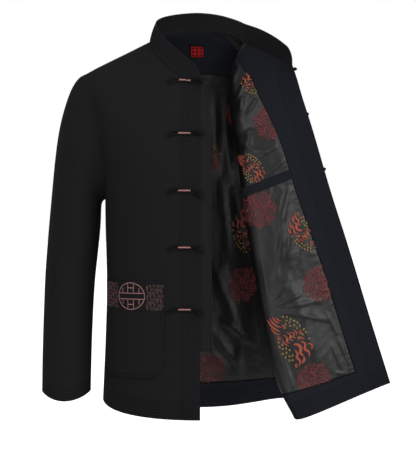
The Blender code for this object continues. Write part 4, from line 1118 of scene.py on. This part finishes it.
def make_left_facing(left, look):
    def places(row):
        width = facing_width(left, row) - SEAM / 2
        zone = min(EDGE_ZONE, 0.8 * width)
        plain, stitched = FACING_PLACES
        return left.place_of(row, left.line(row)[-1] - np.concatenate([
            np.linspace(width, zone, plain)[:-1], np.linspace(zone, 0.0, stitched)]))

    facing = Cloth(left, every_row(INSIDE_TOP), places, UNDER)
    thin_facing("facing_left_cloth", facing, look,
                rows_of((facing.from_end, PLACKET_ROWS), (facing.up, HEM_ROWS)))


def make_left_hem(left, look):
    hem = Cloth(left, every_row(ROW_HEM + HEM_GAP), left_places(left), UNDER)
    thin_facing("hem_facing_left_cloth", hem, look, rows_of((hem.up, HEM_ROWS)))


def make_left_lining(left, look):
    rows = lining_rows()
    neck_rows = FINE["shoulder"] // ROWS["shoulder"]

    def keep(r, c):
        return rows[r] > neck_rows - 0.1 or c >= FOLD_COLUMNS

    sheet = Cloth(left, rows, left_places(left), UNDER)
    across = lengths(sheet.points, 1)
    to_facing = across[:, -1:] - across
    edge = np.minimum(np.minimum(across, np.abs(to_facing)), sheet.up - HEM_FACING)
    beyond = across - across[:, FOLD_COLUMNS:FOLD_COLUMNS + 1]
    before, wide = PAST_FOLD
    height = (folds_seen(sheet.points, LEFT_FOLDS) * fade(beyond + before, wide)
              + crumple(sheet, CRUMPLED["left"])) * fade(edge, FOLDS_FADE["left"])
    height += puckers(sheet.v, to_facing) * fade(edge, PUCKERS_FADE)
    return lay_lining("lining_left_satin", sheet, height, look, keep)


def make_welt(left, look):
    """The inner pocket's welt, which slopes up from the fold to the facing."""
    def length(row, share):
        line = left.line(row)
        return line[FOLD] * (1 - share) + (line[-1] - facing_width(left, row) - SEAM) * share

    def row_at(share, height):
        rows = np.arange(ROW_TIP, ROW_HEM, 2)
        line = [left.read(left.points, np.array([float(r)]), left.place_of(r, [length(r, share)]))
                for r in rows]
        return float(np.interp(-height, [-point[0, 2] for point in line], rows))

    ends = [row_at(WELT_FROM, WELT["inner"]), row_at(1.0, WELT["outer"])]
    up, along = WELT_GRID
    shares = np.linspace(WELT_FROM, 1, along)
    row = int(ends[0])
    tall = WELT["height"] / np.linalg.norm(left.points[row + 1, DENSE] - left.points[row, DENSE])
    rows = np.array([[np.interp(s, (shares[0], shares[-1]), ends) + step * tall for s in shares]
                     for step in np.linspace(0, 1, up)])
    places = np.array([[left.place_of(r, [length(r, s)])[0] for r, s in zip(line, shares)]
                       for line in rows])
    out = left.read(left.out, rows, places)
    lift = WELT_STANDS * np.sin(np.linspace(0, math.pi, up))[:, None] ** 0.5
    points = left.read(left.points, rows, places) + out * OVER_LINING - out * lift[..., None]
    finish(shell("inner_pocket_welt_cloth", Sheet(points, True), THIN, [look]))


# ---- materials --------------------------------------------------------------------------------
class Nodes:
    """Short names for making a material's nodes."""

    def __init__(self, name):
        self.made = bpy.data.materials.new(name)
        self.made.use_nodes = True
        self.tree = self.made.node_tree
        self.shader = self.tree.nodes["Principled BSDF"]

    def new(self, kind, **values):
        node = self.tree.nodes.new(kind)
        for key, value in values.items():
            setattr(node, key, value)
        return node

    def give(self, socket, value):
        """Sets a socket to a number or a colour, or links it."""
        if isinstance(value, (int, float)):
            socket.default_value = value
        elif isinstance(value, tuple):
            socket.default_value = (*value, 1.0)
        elif value is not None:
            self.tree.links.new(value, socket)

    def math(self, way, *values, clamp=False):
        node = self.new("ShaderNodeMath", operation=way, use_clamp=clamp)
        for socket, value in zip(node.inputs, values):
            self.give(socket, value)
        return node.outputs[0]

    def add(self, a, b):
        return self.math("ADD", a, b)

    def less(self, a, b):
        return self.math("SUBTRACT", a, b)

    def times(self, a, b, clamp=False):
        return self.math("MULTIPLY", a, b, clamp=clamp)

    def size(self, a):
        return self.math("ABSOLUTE", a)

    def wave(self, along, pitch):
        return self.math("SINE", self.times(along, 2 * math.pi / pitch))

    def uv(self):
        split = self.new("ShaderNodeSeparateXYZ")
        self.give(split.inputs[0], self.new("ShaderNodeUVMap", uv_map="cloth").outputs[0])
        return split.outputs[0], split.outputs[1]

    def noise(self, scale, detail):
        mapping = self.new("ShaderNodeMapping")
        mapping.inputs["Scale"].default_value = (scale, scale, scale)
        self.give(mapping.inputs[0], self.new("ShaderNodeUVMap", uv_map="cloth").outputs[0])
        node = self.new("ShaderNodeTexNoise")
        self.give(node.inputs["Scale"], 1.0)
        self.give(node.inputs["Detail"], detail)
        self.give(node.inputs["Vector"], mapping.outputs[0])
        return node.outputs["Fac"]

    def mix(self, share, a, b):
        node = self.new("ShaderNodeMix", data_type="RGBA")
        for socket, value in ((0, share), (6, a), (7, b)):
            self.give(node.inputs[socket], value)
        return node.outputs[2]

    def bump(self, height, distance, strength=1.0, before=None):
        node = self.new("ShaderNodeBump")
        for socket, value in (("Distance", distance), ("Strength", strength),
                              ("Height", height), ("Normal", before)):
            self.give(node.inputs[socket], value)
        return node.outputs[0]

    def done(self, colour, normal, roughness, **values):
        inputs = self.shader.inputs
        self.give(inputs["Base Color"], colour)
        self.give(inputs["Roughness"], roughness)
        self.give(inputs["Normal"], normal)
        for key, value in values.items():
            inputs[key.replace("_", " ")].default_value = value
        return self.made


def scaled(colour, by):
    return tuple(c * by for c in colour)


def cloth_material(name, colour):
    """Wool-like suiting: a fine twill with slightly uneven colour, its stitch rows darkened with
    painted shade.
    """
    nodes = Nodes(name)
    u, v = nodes.uv()
    slant = nodes.add(nodes.times(u, 2 * math.pi / TWILL_PITCH),
                      nodes.times(v, 4 * math.pi / TWILL_PITCH / 1.3))
    weave = nodes.math("MULTIPLY_ADD", nodes.math("SINE", slant), 0.5, 0.5)
    fleck = nodes.noise(900.0, 2.0)
    shade = nodes.add(nodes.times(weave, 0.35), nodes.add(
        nodes.times(fleck, 0.4), nodes.times(nodes.noise(14.0, 3.0), 0.35)))
    normal = nodes.bump(weave, 0.00012, 0.6, nodes.bump(fleck, 0.0002, 0.4))
    # Painted shade: the colour darkens towards near black in stitch rows and the centre back seam,
    # for the shade in their grooves.
    sunk = nodes.new("ShaderNodeAttribute", attribute_name="sunk").outputs["Fac"]
    base = nodes.mix(nodes.times(sunk, STITCH_SHADE),
                     nodes.mix(shade, scaled(colour, 0.9), scaled(colour, 1.1)),
                     (0.001, 0.001, 0.001))
    return nodes.done(base, normal, 0.88, Sheen_Weight=0.02, Sheen_Roughness=0.5,
                      Sheen_Tint=(0.55, 0.58, 0.66, 1.0), Specular_IOR_Level=0.07)


def satin_material(name, colour, centres=()):
    """Smooth satin with fine cross ribs, with round patches of dark red figured weave."""
    nodes = Nodes(name)
    u, v = nodes.uv()
    soft = nodes.noise(60.0, 4.0)
    base = nodes.mix(soft, scaled(colour, 0.8), scaled(colour, 1.25))
    patches = None
    for cu, cv in centres:
        du, dv = nodes.less(u, cu), nodes.less(v, cv)
        gone = nodes.math("SQRT", nodes.add(nodes.times(du, du), nodes.times(dv, dv)))
        inside = nodes.times(nodes.less(MEDALLION, gone), 700.0, True)
        patches = nodes.math("MAXIMUM", patches, inside) if patches else inside
    if patches:
        spots = nodes.times(nodes.less(nodes.noise(420.0, 2.0), 0.44), 9.0, True)
        base = nodes.mix(nodes.times(patches, nodes.times(spots, 0.45)), base, FIGURE_RED)
    wrinkles = nodes.times(nodes.size(nodes.less(nodes.noise(30.0, 3.0), 0.5)), 5.0, True)
    normal = nodes.bump(wrinkles, 0.0011, 0.25, nodes.bump(soft, 0.0006, 0.35))
    return nodes.done(base, nodes.bump(nodes.wave(v, RIB_PITCH), 0.00005, 0.25, normal), 0.34,
                      Specular_IOR_Level=0.50, Anisotropic=0.3)


def thread_material(name, colour, pitch, roughness, uneven=0.25, shine=0.4):
    """Wrapped or twisted thread, its turns slanting across the UVs."""
    nodes = Nodes(name)
    u, v = nodes.uv()
    turns = nodes.math("SINE", nodes.add(nodes.times(u, 2 * math.pi / pitch),
                                         nodes.times(v, 2 * math.pi / pitch)))
    share = nodes.add(nodes.times(turns, 0.2), nodes.noise(700.0, 2.0))
    base = nodes.mix(share, scaled(colour, 1 - uneven), scaled(colour, 1 + uneven))
    return nodes.done(base, nodes.bump(turns, 0.0002, 0.8), roughness,
                      Specular_IOR_Level=shine, Sheen_Weight=shine / 4)


def label_material(name):
    """A woven label: a lattice of small dark squares on red, with a black border."""
    nodes = Nodes(name)
    u, v = nodes.uv()
    v = nodes.add(v, LABEL_RED["down"])
    far = nodes.math("MAXIMUM", nodes.size(u), nodes.size(v))
    cells = [nodes.size(nodes.less(nodes.math("FRACT", nodes.add(nodes.math(
        "DIVIDE", way, LABEL_RED["pitch"]), 0.5)), 0.5)) for way in (u, v)]
    ring = nodes.wave(nodes.math("MAXIMUM", *cells), 0.5)
    red = nodes.mix(nodes.times(nodes.less(ring, 0.10), 5.0, True),
                    (0.46, 0.014, 0.018), (0.035, 0.005, 0.006))
    inside = nodes.times(nodes.less(LABEL_RED["half"], far), 2500.0, True)
    return nodes.done(nodes.mix(inside, (0.010, 0.010, 0.012), red),
                      nodes.bump(nodes.wave(v, LABEL_THREAD), 0.00008, 0.5), 0.7,
                      Specular_IOR_Level=0.15)


def make_looks():
    return {
        "cloth": cloth_material("black_suiting", CLOTH_BLACK),
        # A lighter copy of the black cloth: painted light on the under placket.
        "placket": cloth_material("placket_suiting", scaled(CLOTH_BLACK, PLACKET_LIT_SHARE)),
        "facing": cloth_material("facing_suiting", FACING_BLACK),
        # A lighter copy of the facing cloth: painted light on the back's hem facing, which lies in
        # shade.
        "hem": cloth_material("hem_suiting", scaled(FACING_BLACK, HEM_LIT_SHARE)),
        "band": cloth_material("band_suiting", scaled(CLOTH_BLACK, BAND_SHARE)),
        "satin": satin_material("plain_satin", SATIN_BLACK),
        "cord": thread_material("black_cord", CORD_BLACK, 0.0020, 0.55, 0.25, 0.15),
        "bar": thread_material("copper_thread", COPPER_PINK, 0.0009, 0.45, 0.18),
        "copper": thread_material("copper_stitching", COPPER_PINK, 0.0012, 0.5),
        "copper_dull": thread_material("dull_copper_stitching", BAND_COPPER, 0.0012, 0.55),
        "red": thread_material("red_figures", FIGURE_CORAL, 0.0010, 0.5),
        "coral": thread_material("coral_figures", FIGURE_ORANGE, 0.0010, 0.45),
        "gold": thread_material("gold_figures", FIGURE_GOLD, 0.0010, 0.45),
        "label": label_material("label"),
    }


# ---- cords and knots --------------------------------------------------------------------------
def tubes(name, lines, radius, look, sides=8):
    """One piece made of tubes along lines of points, each line with its own ways out."""
    verts, faces, uvs = [], [], []
    for points, outs in lines:
        tangents = np.gradient(points, axis=0)
        tangents /= np.maximum(np.linalg.norm(tangents, axis=1, keepdims=True), 1e-9)
        along = np.concatenate([[0], np.cumsum(np.linalg.norm(np.diff(points, axis=0), axis=1))])
        first, last = len(verts), len(points) - 1
        for point, tangent, out in zip(points, tangents, outs):
            side = unit(np.cross(out, tangent))
            up = np.cross(tangent, side)
            turns = (2 * math.pi * k / sides for k in range(sides))
            verts += [point + radius * (math.cos(t) * side + math.sin(t) * up) for t in turns]
        for r in range(last):
            for k in range(sides):
                a, b = first + r * sides + k, first + r * sides + (k + 1) % sides
                faces.append([a, b, b + sides, a + sides])
                near, far = (j / sides * 2 * math.pi * radius for j in (k, k + 1))
                uvs += [(along[r], near), (along[r], far),
                        (along[r + 1], far), (along[r + 1], near)]
        for ring, step in ((first, -1), (first + last * sides, 1)):
            faces.append([ring + k for k in range(sides)][::step])
            uvs += [(0.0, 0.0)] * sides
    return finish(build(name, verts, faces, uvs, [0] * len(faces), [look]))


def seen_from_front(pieces):
    """What a line of sight along +Y meets first on pieces: the point, the way out there and
    the wall."""
    graph = bpy.context.evaluated_depsgraph_get()
    trees = [(BVHTree.FromObject(piece, graph), wall) for piece, wall in pieces]

    def first(x, z):
        for aside in (0.0, -0.0008, 0.0008, -0.0016, 0.0016):  # past the slit of a seam
            hits = [(*tree.ray_cast(Vector((x, -1.0, z + aside)), Vector((0.0, 1.0, 0.0))), wall)
                    for tree, wall in trees]
            hits = [(hit[3], np.array(hit[0]), np.array(hit[1]), hit[4]) for hit in hits if hit[0]]
            if hits:
                return min(hits, key=lambda hit: hit[0])[1:]
        raise ValueError(f"no cloth at {x:.4f}, {z:.4f}")

    return first


def edge_place(panel, height):
    """Where a front edge passes a height, the way inwards, square to it, and the way down."""
    edge = panel.points[:, -1]
    row = float(np.interp(-height, -edge[:, 2], np.arange(len(edge))))
    low = min(row + FINE["side"] / ROWS["side"], LAST_ROW)
    here, there = (np.array([np.interp(r, np.arange(len(edge)), edge[:, k]) for k in (0, 2)])
                   for r in (row, low))
    along = (there - here) / np.linalg.norm(there - here)
    return here - along * (height - here[1]), np.array((along[1], -along[0])), along


def on_cloth(first, place, line, side, radius):
    """A line of (inward, sideways) places laid on the cloth: its points and their ways out."""
    edge, inward, down = place
    points, outs = [], []
    for along, across in line:
        near = max(along, EDGE_REACH)
        hit, normal, wall = first(*(edge + inward * near + down * across))
        # Outside is towards the camera on the right front, away on the turned-back left one.
        out = radius + CORD_OVER if side == "right" else -(wall + radius + CORD_BEHIND)
        points.append(hit + normal * out
                      + np.array((inward[0], 0.0, inward[1])) * (along - near))
        outs.append(normal)
    points = np.array(points)
    for _ in range(2):  # the cloth's stitch rows don't show through the cord
        points[1:-1] = (points[:-2] + 2 * points[1:-1] + points[2:]) / 4
    return points, np.array(outs)


def ball_knot(centre, number, look):
    """A ball knot: three bands of three cords, each over one neighbour and under the other."""
    radius = KNOT_RADIUS * KNOT_FULL
    tilt = np.array(((0.83, -0.35, 0.43), (0.50, 0.80, -0.33), (-0.23, 0.49, 0.84)))
    lines = []
    for k in range(3):
        a, b, n = (np.eye(3)[(k + j) % 3] @ tilt for j in range(3))
        for j in (-1, 0, 1):
            shrink = math.sqrt(max(0.0, 1 - (j * 0.36) ** 2))
            ring = np.array([centre + radius * (0.83 + 0.09 * math.cos(2 * t)) * shrink
                             * (math.cos(t) * a + math.sin(t) * b) + n * j * radius * 0.33
                             for t in np.linspace(0, 2 * math.pi, 37)])
            lines.append((ring, ring - centre))
    tubes(f"knot_{number}_cord", lines, radius * 0.185, look, 7)


def make_frogs(side, panel, cloth, collar, heights, looks):
    """The frogs of one front: each a cord laid double with a wrapped bar between its strands."""
    first = seen_from_front([(cloth, CLOTH), (collar, COLLAR_WALL)])
    bar = [(s, 0.0) for s in np.linspace(BAR["start"] - BAR_SHIFT[0], BAR["end"] - BAR_SHIFT[1],
                                         BAR_POINTS)]
    tail = FROG_LINE[-1][0]
    for number, height in enumerate(heights, 1):
        place = edge_place(panel, height)
        if side == "right":
            drop = KNOT_DROPS[number - 1]
            strand = [(s, w * STRANDS_CLOSE) for s, w in FROG_LINE]
        else:
            drop = 0.0
            out = LOOP_OUT - LOOP_SHORT if number <= LOOPS_SHOWING else LOOP_IN
            strand = [(-out + s, w) for s, w in LOOP_END] + [*FROG_LINE[1:-1], (tail, LOOP_TAIL)]
            strand = strand[::-1]
        line = rounded_line(strand + [(s, -w) for s, w in strand[::-1]], FROG_POINTS)
        line = [(s, w + TAIL_DROOP * max(0.0, (s - DROOP_START) / (tail - DROOP_START)) ** 2
                 + drop * max(0.0, 1 - s / KNOT_REACH)) for s, w in line]
        tubes(f"frog_{side}_{number}_cord", [on_cloth(first, place, line, side, CORD_RADIUS)],
              CORD_RADIUS * CORD_FULL, looks["cord"])
        tubes(f"bar_{side}_{number}_thread", [on_cloth(first, place, bar, side, BAR["radius"])],
              BAR["radius"], looks["bar"], 12)
        if side == "right":
            spot = on_cloth(first, place, [(-KNOT_OUT, drop)] * 3, side, KNOT_HEIGHT)[0][0]
            ball_knot(spot, number, looks["cord"])


# ---- folds of the linings ---------------------------------------------------------------------
def pixels(points):
    """Where points show in the camera's frame."""
    rel = points - EYE
    deep = rel @ FORWARD
    return np.stack([FRAME[0] / 2 + FOCAL * rel[..., 0] / deep,
                     FRAME[1] / 2 - FOCAL * (rel @ UPWARD) / deep], axis=-1)


def folds_seen(points, table):
    """Heights of soft folds, at a grid of points, from a table of places in the frame."""
    seen = pixels(points)
    total = np.zeros(points.shape[:2])
    for x0, y0, x1, y1, width, height in table:
        start, way = np.array((x0, y0)), np.array((x1 - x0, y1 - y0), float)
        rel = seen - start
        share = np.clip((rel @ way) / (way @ way), 0, 1)
        side = np.linalg.norm(rel - share[..., None] * way, axis=2) * PIXEL
        taper = 1 - np.abs(2 * share - 1) ** 3
        total += height * (0.25 + 0.75 * taper) * np.exp(-(side / width) ** 2)
    return total


def crumple(sheet, height):
    """Low uneven waves all over a lining, worked out from its cloth's coordinates."""
    u, v = sheet.u, sheet.v
    waves = (np.sin(u * 61 + 2.1 * np.sin(v * 17)) + 0.7 * np.sin(u * 113 - v * 41 + 1.3)
             + 0.6 * np.sin(u * 37 + v * 59 + 0.4 * np.sin(u * 90)))
    small = np.sin(u * 210 + v * 160 + 2 * np.sin(u * 47)) * np.sin(v * 190 - u * 90 + 0.7)
    return height * np.maximum(0.0, 0.5 + waves / 3 + 0.16 * small)


def puckers(along, away):
    """Short uneven puckers where a lining is sewn to its facing, dying away from the seam."""
    waves = np.sin(along * 520 + 1.7 * np.sin(along * 83)) * (0.55 + 0.45 * np.sin(along * 29 + 1))
    return 0.0008 * np.maximum(0.0, waves) * np.exp(-(away / 0.011) ** 2)


# ---- figures lying on a sheet -----------------------------------------------------------------
class On:
    """Reads a sheet's final points by its cloth's coordinates. sign is 1 where its outer face
    is the one seen, and -1 where its inner face is."""

    def __init__(self, sheet, sign, keep):
        self.sheet, self.sign, self.keep = sheet, sign, keep
        self.turn = 1.0 if sheet.u[0, -1] > sheet.u[0, 0] else -1.0
        self.u, self.v = sheet.u * self.turn, -sheet.v
        self.rows, self.cols = sheet.u.shape

    def where(self, px, py):
        """The cloth's coordinates of what shows at a place in the camera's frame."""
        gap = np.linalg.norm(pixels(self.sheet.points) - np.array((px, py)), axis=2)
        gap = np.where(((self.sheet.out * -self.sign) @ FORWARD) > 0.1, gap, 1e9)
        deep = np.where(gap < gap.min() + 1.2, (self.sheet.points - EYE) @ FORWARD, 1e9)
        r, c = np.unravel_index(np.argmin(deep), deep.shape)
        return float(self.sheet.u[r, c]), float(self.sheet.v[r, c])

    def part(self, at, count):
        """The whole and the fractional part of a place among a count of places."""
        whole = int(min(max(at, 0), count - 1.001))
        return whole, min(max(at, 0), count - 1) - whole

    def place(self, u, v):
        """The row and column of a place, or None off the sheet."""
        u, v = u * self.turn, -v
        r, c = self.rows / 2, self.cols / 2
        for _ in range(5):
            r0, s = self.part(r, self.rows)
            line = self.u[r0] * (1 - s) + self.u[r0 + 1] * s
            c = float(np.interp(u, line, np.arange(self.cols)))
            inside = line[0] < u < line[-1]
            c0, t = self.part(c, self.cols)
            line = self.v[:, c0] * (1 - t) + self.v[:, c0 + 1] * t
            r = float(np.interp(v, line, np.arange(self.rows)))
            inside = inside and line[0] < v < line[-1]
        return (r, c) if inside and self.keep(int(r), int(c)) else None

    def at(self, u, v, lift):
        """The point over a place and the way out of the cloth's seen face, or None."""
        spot = self.place(u, v)
        if spot is None:
            return None
        (r, s), (c, t) = self.part(spot[0], self.rows), self.part(spot[1], self.cols)
        parts = (((1 - s) * (1 - t), (r, c)), (s * (1 - t), (r + 1, c)),
                 ((1 - s) * t, (r, c + 1)), (s * t, (r + 1, c + 1)))
        point = sum(w * self.sheet.points[q] for w, q in parts)
        out = sum(w * self.sheet.out[q] for w, q in parts) * self.sign
        out /= np.linalg.norm(out)
        return point + out * lift, out


def ribbons(name, on, strokes, look, lift, rise, taper=0.0):
    """Flat woven or stitched strokes on a sheet: each is a line of (u, v) with its width,
    narrower towards its ends by taper and raised along its middle."""
    verts, faces, uvs = [], [], []

    def add(run, width):
        points, outs = (np.array(part) for part in zip(*run))
        ways = np.gradient(points, axis=0)
        ways /= np.maximum(np.linalg.norm(ways, axis=1, keepdims=True), 1e-9)
        first, last, along = len(verts), len(run) - 1, 0.0
        for k, (p, o, s) in enumerate(zip(points, outs, np.cross(outs, ways))):
            half = width / 2 * {0: 0.45, 1: 0.85}.get(min(k, last - k), 1.0) \
                * (1 - taper * abs(2 * k / last - 1) ** 2)
            verts.extend([p - s * half, p + o * rise, p + s * half])
            if k:
                along += float(np.linalg.norm(points[k] - points[k - 1]))
                a, b = first + 3 * (k - 1), first + 3 * k
                for i, j in ((0, 1), (1, 2), (2, 0)):
                    faces.append([a + i, b + i, b + j, a + j])
                    near, far = i * width / 2, j * width / 2
                    uvs.extend([(along, near), (along + 0.001, near), (along + 0.001, far),
                                (along, far)])
        end = first + 3 * last
        faces.extend([[first, first + 1, first + 2], [end + 2, end + 1, end]])
        uvs.extend([(0.0, 0.0)] * 6)

    for line, width in strokes:
        run = []
        for got in [*(on.at(u, v, lift) for u, v in line), None]:
            if got is not None:
                run.append(got)
            else:
                if len(run) > 2:
                    add(run, width)
                run = []
    finish(build(name, verts, faces, uvs, [0] * len(faces), [look]), replaces=False)


def round_about(x, y, radius, angle):
    return x + radius * math.cos(math.radians(angle)), y + radius * math.sin(math.radians(angle))


def arc(cx, cy, radius, start, end, step=0.0022):
    """A line round part of a circle; angles in degrees."""
    count = max(4, int(abs(math.radians(end - start)) * radius / step) + 1)
    return [round_about(cx, cy, radius, a) for a in np.linspace(start, end, count)]


def curl(cx, cy, radius, start, turns, tail=0.12):
    """A spiral that winds in from its rim."""
    count = max(8, int(abs(turns) * 2 * math.pi * radius * 0.6 / 0.0016))
    return [round_about(cx, cy, radius * (1 - k / count * (1 - tail)),
                        start + turns * 360 * k / count) for k in range(count + 1)]


def medallion(cu, cv, radius, turn):
    """Strokes of a round figure: uneven curls, scales and waves packed like seeds."""
    strokes = [(arc(cu, cv, radius * 0.18, turn, turn + 260), 0.0014),
               (curl(cu, cv, radius * 0.12, turn, 1.2), 0.0012)]
    for n in range(5, MEDALLION_CURLS):
        x, y = round_about(cu, cv, radius * 0.95 * math.sqrt(n / MEDALLION_CURLS),
                           GOLDEN * n + turn)
        uneven = math.sin(12.9 * n + turn)
        if n % 9 == 4:
            continue  # a small bare place
        if n % 3 == 0:
            line = curl(x, y, radius * (0.115 + 0.03 * uneven), 97 * n, 1.1 if n % 2 else -1.1,
                        0.35)
        elif n % 3 == 1:
            line = arc(x, y, radius * (0.13 + 0.03 * uneven), 71 * n, 71 * n + 190)
        else:
            ca, sa = math.cos(math.radians(53 * n)), math.sin(math.radians(53 * n))
            line = [(x + radius * (0.15 * s * ca - 0.05 * math.sin(4 * s) * sa),
                     y + radius * (0.15 * s * sa + 0.05 * math.sin(4 * s) * ca))
                    for s in np.linspace(-1, 1, 12)]
        strokes.append((line, 0.0014 + 0.0004 * uneven))
    return strokes


def spray(cu, cv, size, lean, rise, way):
    """A cloud-and-flame spray: heavy coral strokes with curled ends, gold buds about them.
    rise -1 turns it half round, and way is how u runs in the camera's frame."""
    ca, sa = math.cos(math.radians(lean)), math.sin(math.radians(lean))

    def place(points):
        turned = [(SPRAY_NARROW * x * ca - y * sa, SPRAY_NARROW * x * sa + y * ca)
                  for x, y in points]
        return [(cu + way * rise * size * x, cv + rise * size * y) for x, y in turned]

    heavy = [(place(rounded_line(stroke, 34)), width * size) for width, *stroke in SPRAY_STROKES]
    heavy += [(place(rounded_line(curl(x, y, r, start, turns, 0.25), 26)), width * size)
              for x, y, r, start, turns, width in SPRAY_CURLS]
    light = []
    for k, (x, y) in enumerate(SPRAY_BUDS):
        turn = 77 * k
        dx, dy = 0.030 * math.cos(math.radians(turn)), 0.030 * math.sin(math.radians(turn))
        light += [(place(arc(x, y, 0.019, turn, turn + 200, 0.007)), 0.0016),
                  (place([(x - dx, y - dy), (x - dx * 0.3, y - dy * 0.3 + 0.006),
                          (x + dx * 0.4, y + dy * 0.4), (x + dx, y + dy)]), 0.0014)]
    return heavy, light


def make_figures(name, on, way, rounds, sprays, black, looks):
    """A lining's figures: medallions in red, sprays in coral with gold buds, and its satin."""
    centres = []
    for px, py, shift in rounds:
        cu, cv = on.where(px, py)
        centres.append((cu + way * shift, cv))
    satin = satin_material(f"figured_{name}", black, centres)
    bpy.data.objects[f"{name}_satin"].data.materials[0] = satin
    red, coral, gold = [], [], []
    for k, (cu, cv) in enumerate(centres):
        red += medallion(cu, cv, MEDALLION, 17 * k)
    for px, py, size, lean, rise in sprays:
        heavy, light = spray(*on.where(px, py), size, lean, rise, way)
        coral += heavy
        gold += light
    for part, strokes, rise, taper in (("red", red, 0.0002, 0.0), ("coral", coral, 0.0003, 0.6),
                                       ("gold", gold, 0.00025, 0.0)):
        ribbons(f"{name}_figures_{part}", on, strokes, looks[part],
                THIN + 0.00005, rise, taper)


def make_band_stitching(side, band, looks):
    """Line stitching on a pocket band: a round fret and a field of small scrolls to each side."""
    on = On(band, 1.0, lambda r, c: True)
    wide, tall = float(band.u[len(band.u) // 2, -1]), float(band.v[0].mean())
    centre = wide * (ROUNDEL["along"] if side == "right" else 1 - ROUNDEL["along"])
    radius, wider = ROUNDEL["radius"], ROUNDEL["wider"]

    def line(points, share=1.0):
        return [(centre + x * wider, tall * 0.5 + y) for x, y in points], ROUNDEL["line"] * share

    fret = [line(arc(0, 0, radius, 0, 360))]
    for k, half in ((-0.62, 0.30), (-0.22, 0.97), (0.22, 0.97), (0.62, 0.30)):
        reach = radius * math.sqrt(1 - k * k)
        fret.append(line([(s, k * radius) for s in np.linspace(-half, half, 20) * reach]))
        ends = np.linspace(0.22 * radius, reach if half > 0.5 else 0.62 * radius, 12)
        fret += [line([(k * radius, way * s) for s in ends], 0.8) for way in (-1, 1)]
    scrolls = []
    edge = radius * wider + 0.003
    for low, high, base in ((0.005, centre - edge, 0.10), (centre + edge, wide - 0.003, 0.04)):
        count = max(1, int((high - low) / SCROLL))
        for i in range(count):
            for j in range(int(tall * (0.96 - base) / SCROLL)):
                turn = 137.5 * (i * 7 + j * 3)
                x = low + (i + 0.5) * (high - low) / count + 0.0012 * math.sin(turn)
                y = tall * base + (j + 0.5) * SCROLL + 0.0012 * math.cos(turn)
                scrolls.append((curl(x, y, SCROLL * (0.50 + 0.08 * math.sin(turn)), turn,
                                     -1.15 if (i + j) % 2 == 0 else 1.15, 0.3), 0.0009))
    ribbons(f"pocket_band_{side}_roundel", on, fret, looks["copper"],
            0.00005, 0.0004)
    ribbons(f"pocket_band_{side}_scrolls", on, scrolls, looks["copper_dull"],
            0.00003, 0.0003)


# ---- stage ------------------------------------------------------------------------------------
def add_object(name, data, place=(0.0, 0.0, 0.0), turn=(0.0, 0.0, 0.0)):
    made = bpy.data.objects.new(name, data)
    made.location, made.rotation_euler = place, turn
    bpy.context.scene.collection.objects.link(made)
    return made


def make_stage():
    camera = bpy.data.cameras.new("camera")
    camera.sensor_width = SENSOR
    camera.lens = FOCAL * SENSOR / FRAME[1]
    bpy.context.scene.camera = add_object("camera", camera, EYE,
                                          (math.pi / 2 - ELEVATION, 0.0, 0.0))
    mesh = bpy.data.meshes.new("floor")
    mesh.from_pydata([(x * FLOOR_HALF, y * FLOOR_HALF, FLOOR)
                      for x, y in ((-1, -1), (1, -1), (1, 1), (-1, 1))], [], [(0, 1, 2, 3)])
    mesh.materials.append(Nodes("pale_floor").done(
        (0.92, 0.92, 0.92), None, 0.9, Specular_IOR_Level=0.1,
        Emission_Color=(1.0, 1.0, 1.0, 1.0), Emission_Strength=1.0))
    floor = add_object("floor", mesh)
    floor.visible_diffuse = floor.visible_glossy = False
    for name, place, aim, size, power in LIGHTS:
        light = bpy.data.lights.new(name, "AREA")
        light.shape, light.size, light.energy = "DISK", size, power
        turn = (Vector(aim) - Vector(place)).to_track_quat("-Z", "Y").to_euler()
        add_object(name, light, place, turn).visible_camera = False
    world = bpy.data.worlds.new("studio")
    bpy.context.scene.world = world
    world.use_nodes = True
    tree = world.node_tree
    back = tree.nodes["Background"]
    path = tree.nodes.new("ShaderNodeLightPath")
    mix = tree.nodes.new("ShaderNodeMix")
    mix.inputs[2].default_value = WORLD_LIGHT
    mix.inputs[3].default_value = 1.0
    tree.links.new(path.outputs["Is Camera Ray"], mix.inputs[0])
    tree.links.new(mix.outputs[0], back.inputs["Strength"])
    back.inputs["Color"].default_value = (1.0, 1.0, 1.0, 1.0)
    view = bpy.context.scene.view_settings
    view.view_transform, view.look = "Standard", "None"
    view.exposure, view.gamma = 0.0, 1.0


def main():
    right, back, left, rings_right, rings_left = make_dense()
    make_stage()
    looks = make_looks()
    front_right = make_front("right", right, [looks["cloth"], looks["satin"]])
    make_back(back, [looks["cloth"]])
    front_left = make_front("left", left, [looks["cloth"]])
    for side, rings in (("right", rings_right), ("left", rings_left)):
        make_sleeve(side, rings, side == "left", [looks["cloth"], looks["satin"]])
    collar = make_collar(right, back, left, looks["cloth"])
    back_lining = make_back_lining(back, looks["satin"])
    make_back_facings(back, looks)
    make_left_facing(left, looks["facing"])
    left_lining = make_left_lining(left, looks["satin"])
    make_left_hem(left, looks["facing"])
    make_welt(left, looks["facing"])
    # The back lining takes the lighter satin colour, painted light for its shaded inside.
    for name, (sheet, keep), way, rounds, sprays, black in (
            ("lining_back", back_lining, 1, BACK_MEDALLIONS, BACK_SPRAYS, LIT_BACK_SATIN),
            ("lining_left", left_lining, -1, LEFT_MEDALLIONS, LEFT_SPRAYS, SATIN_BLACK)):
        make_figures(name, On(sheet, -1.0, keep), way, rounds, sprays, black, looks)
    make_under_placket(right, looks["placket"])
    for side, panel, rise in (("right", right, 0.0), ("left", left, LEFT_POCKET_RISE)):
        make_band_stitching(side, make_pocket(side, panel, rise, looks), looks)
    make_frogs("right", right, front_right, collar, FROG_HEIGHTS, looks)
    make_frogs("left", left, front_left, collar, LOOP_HEIGHTS, looks)


main()
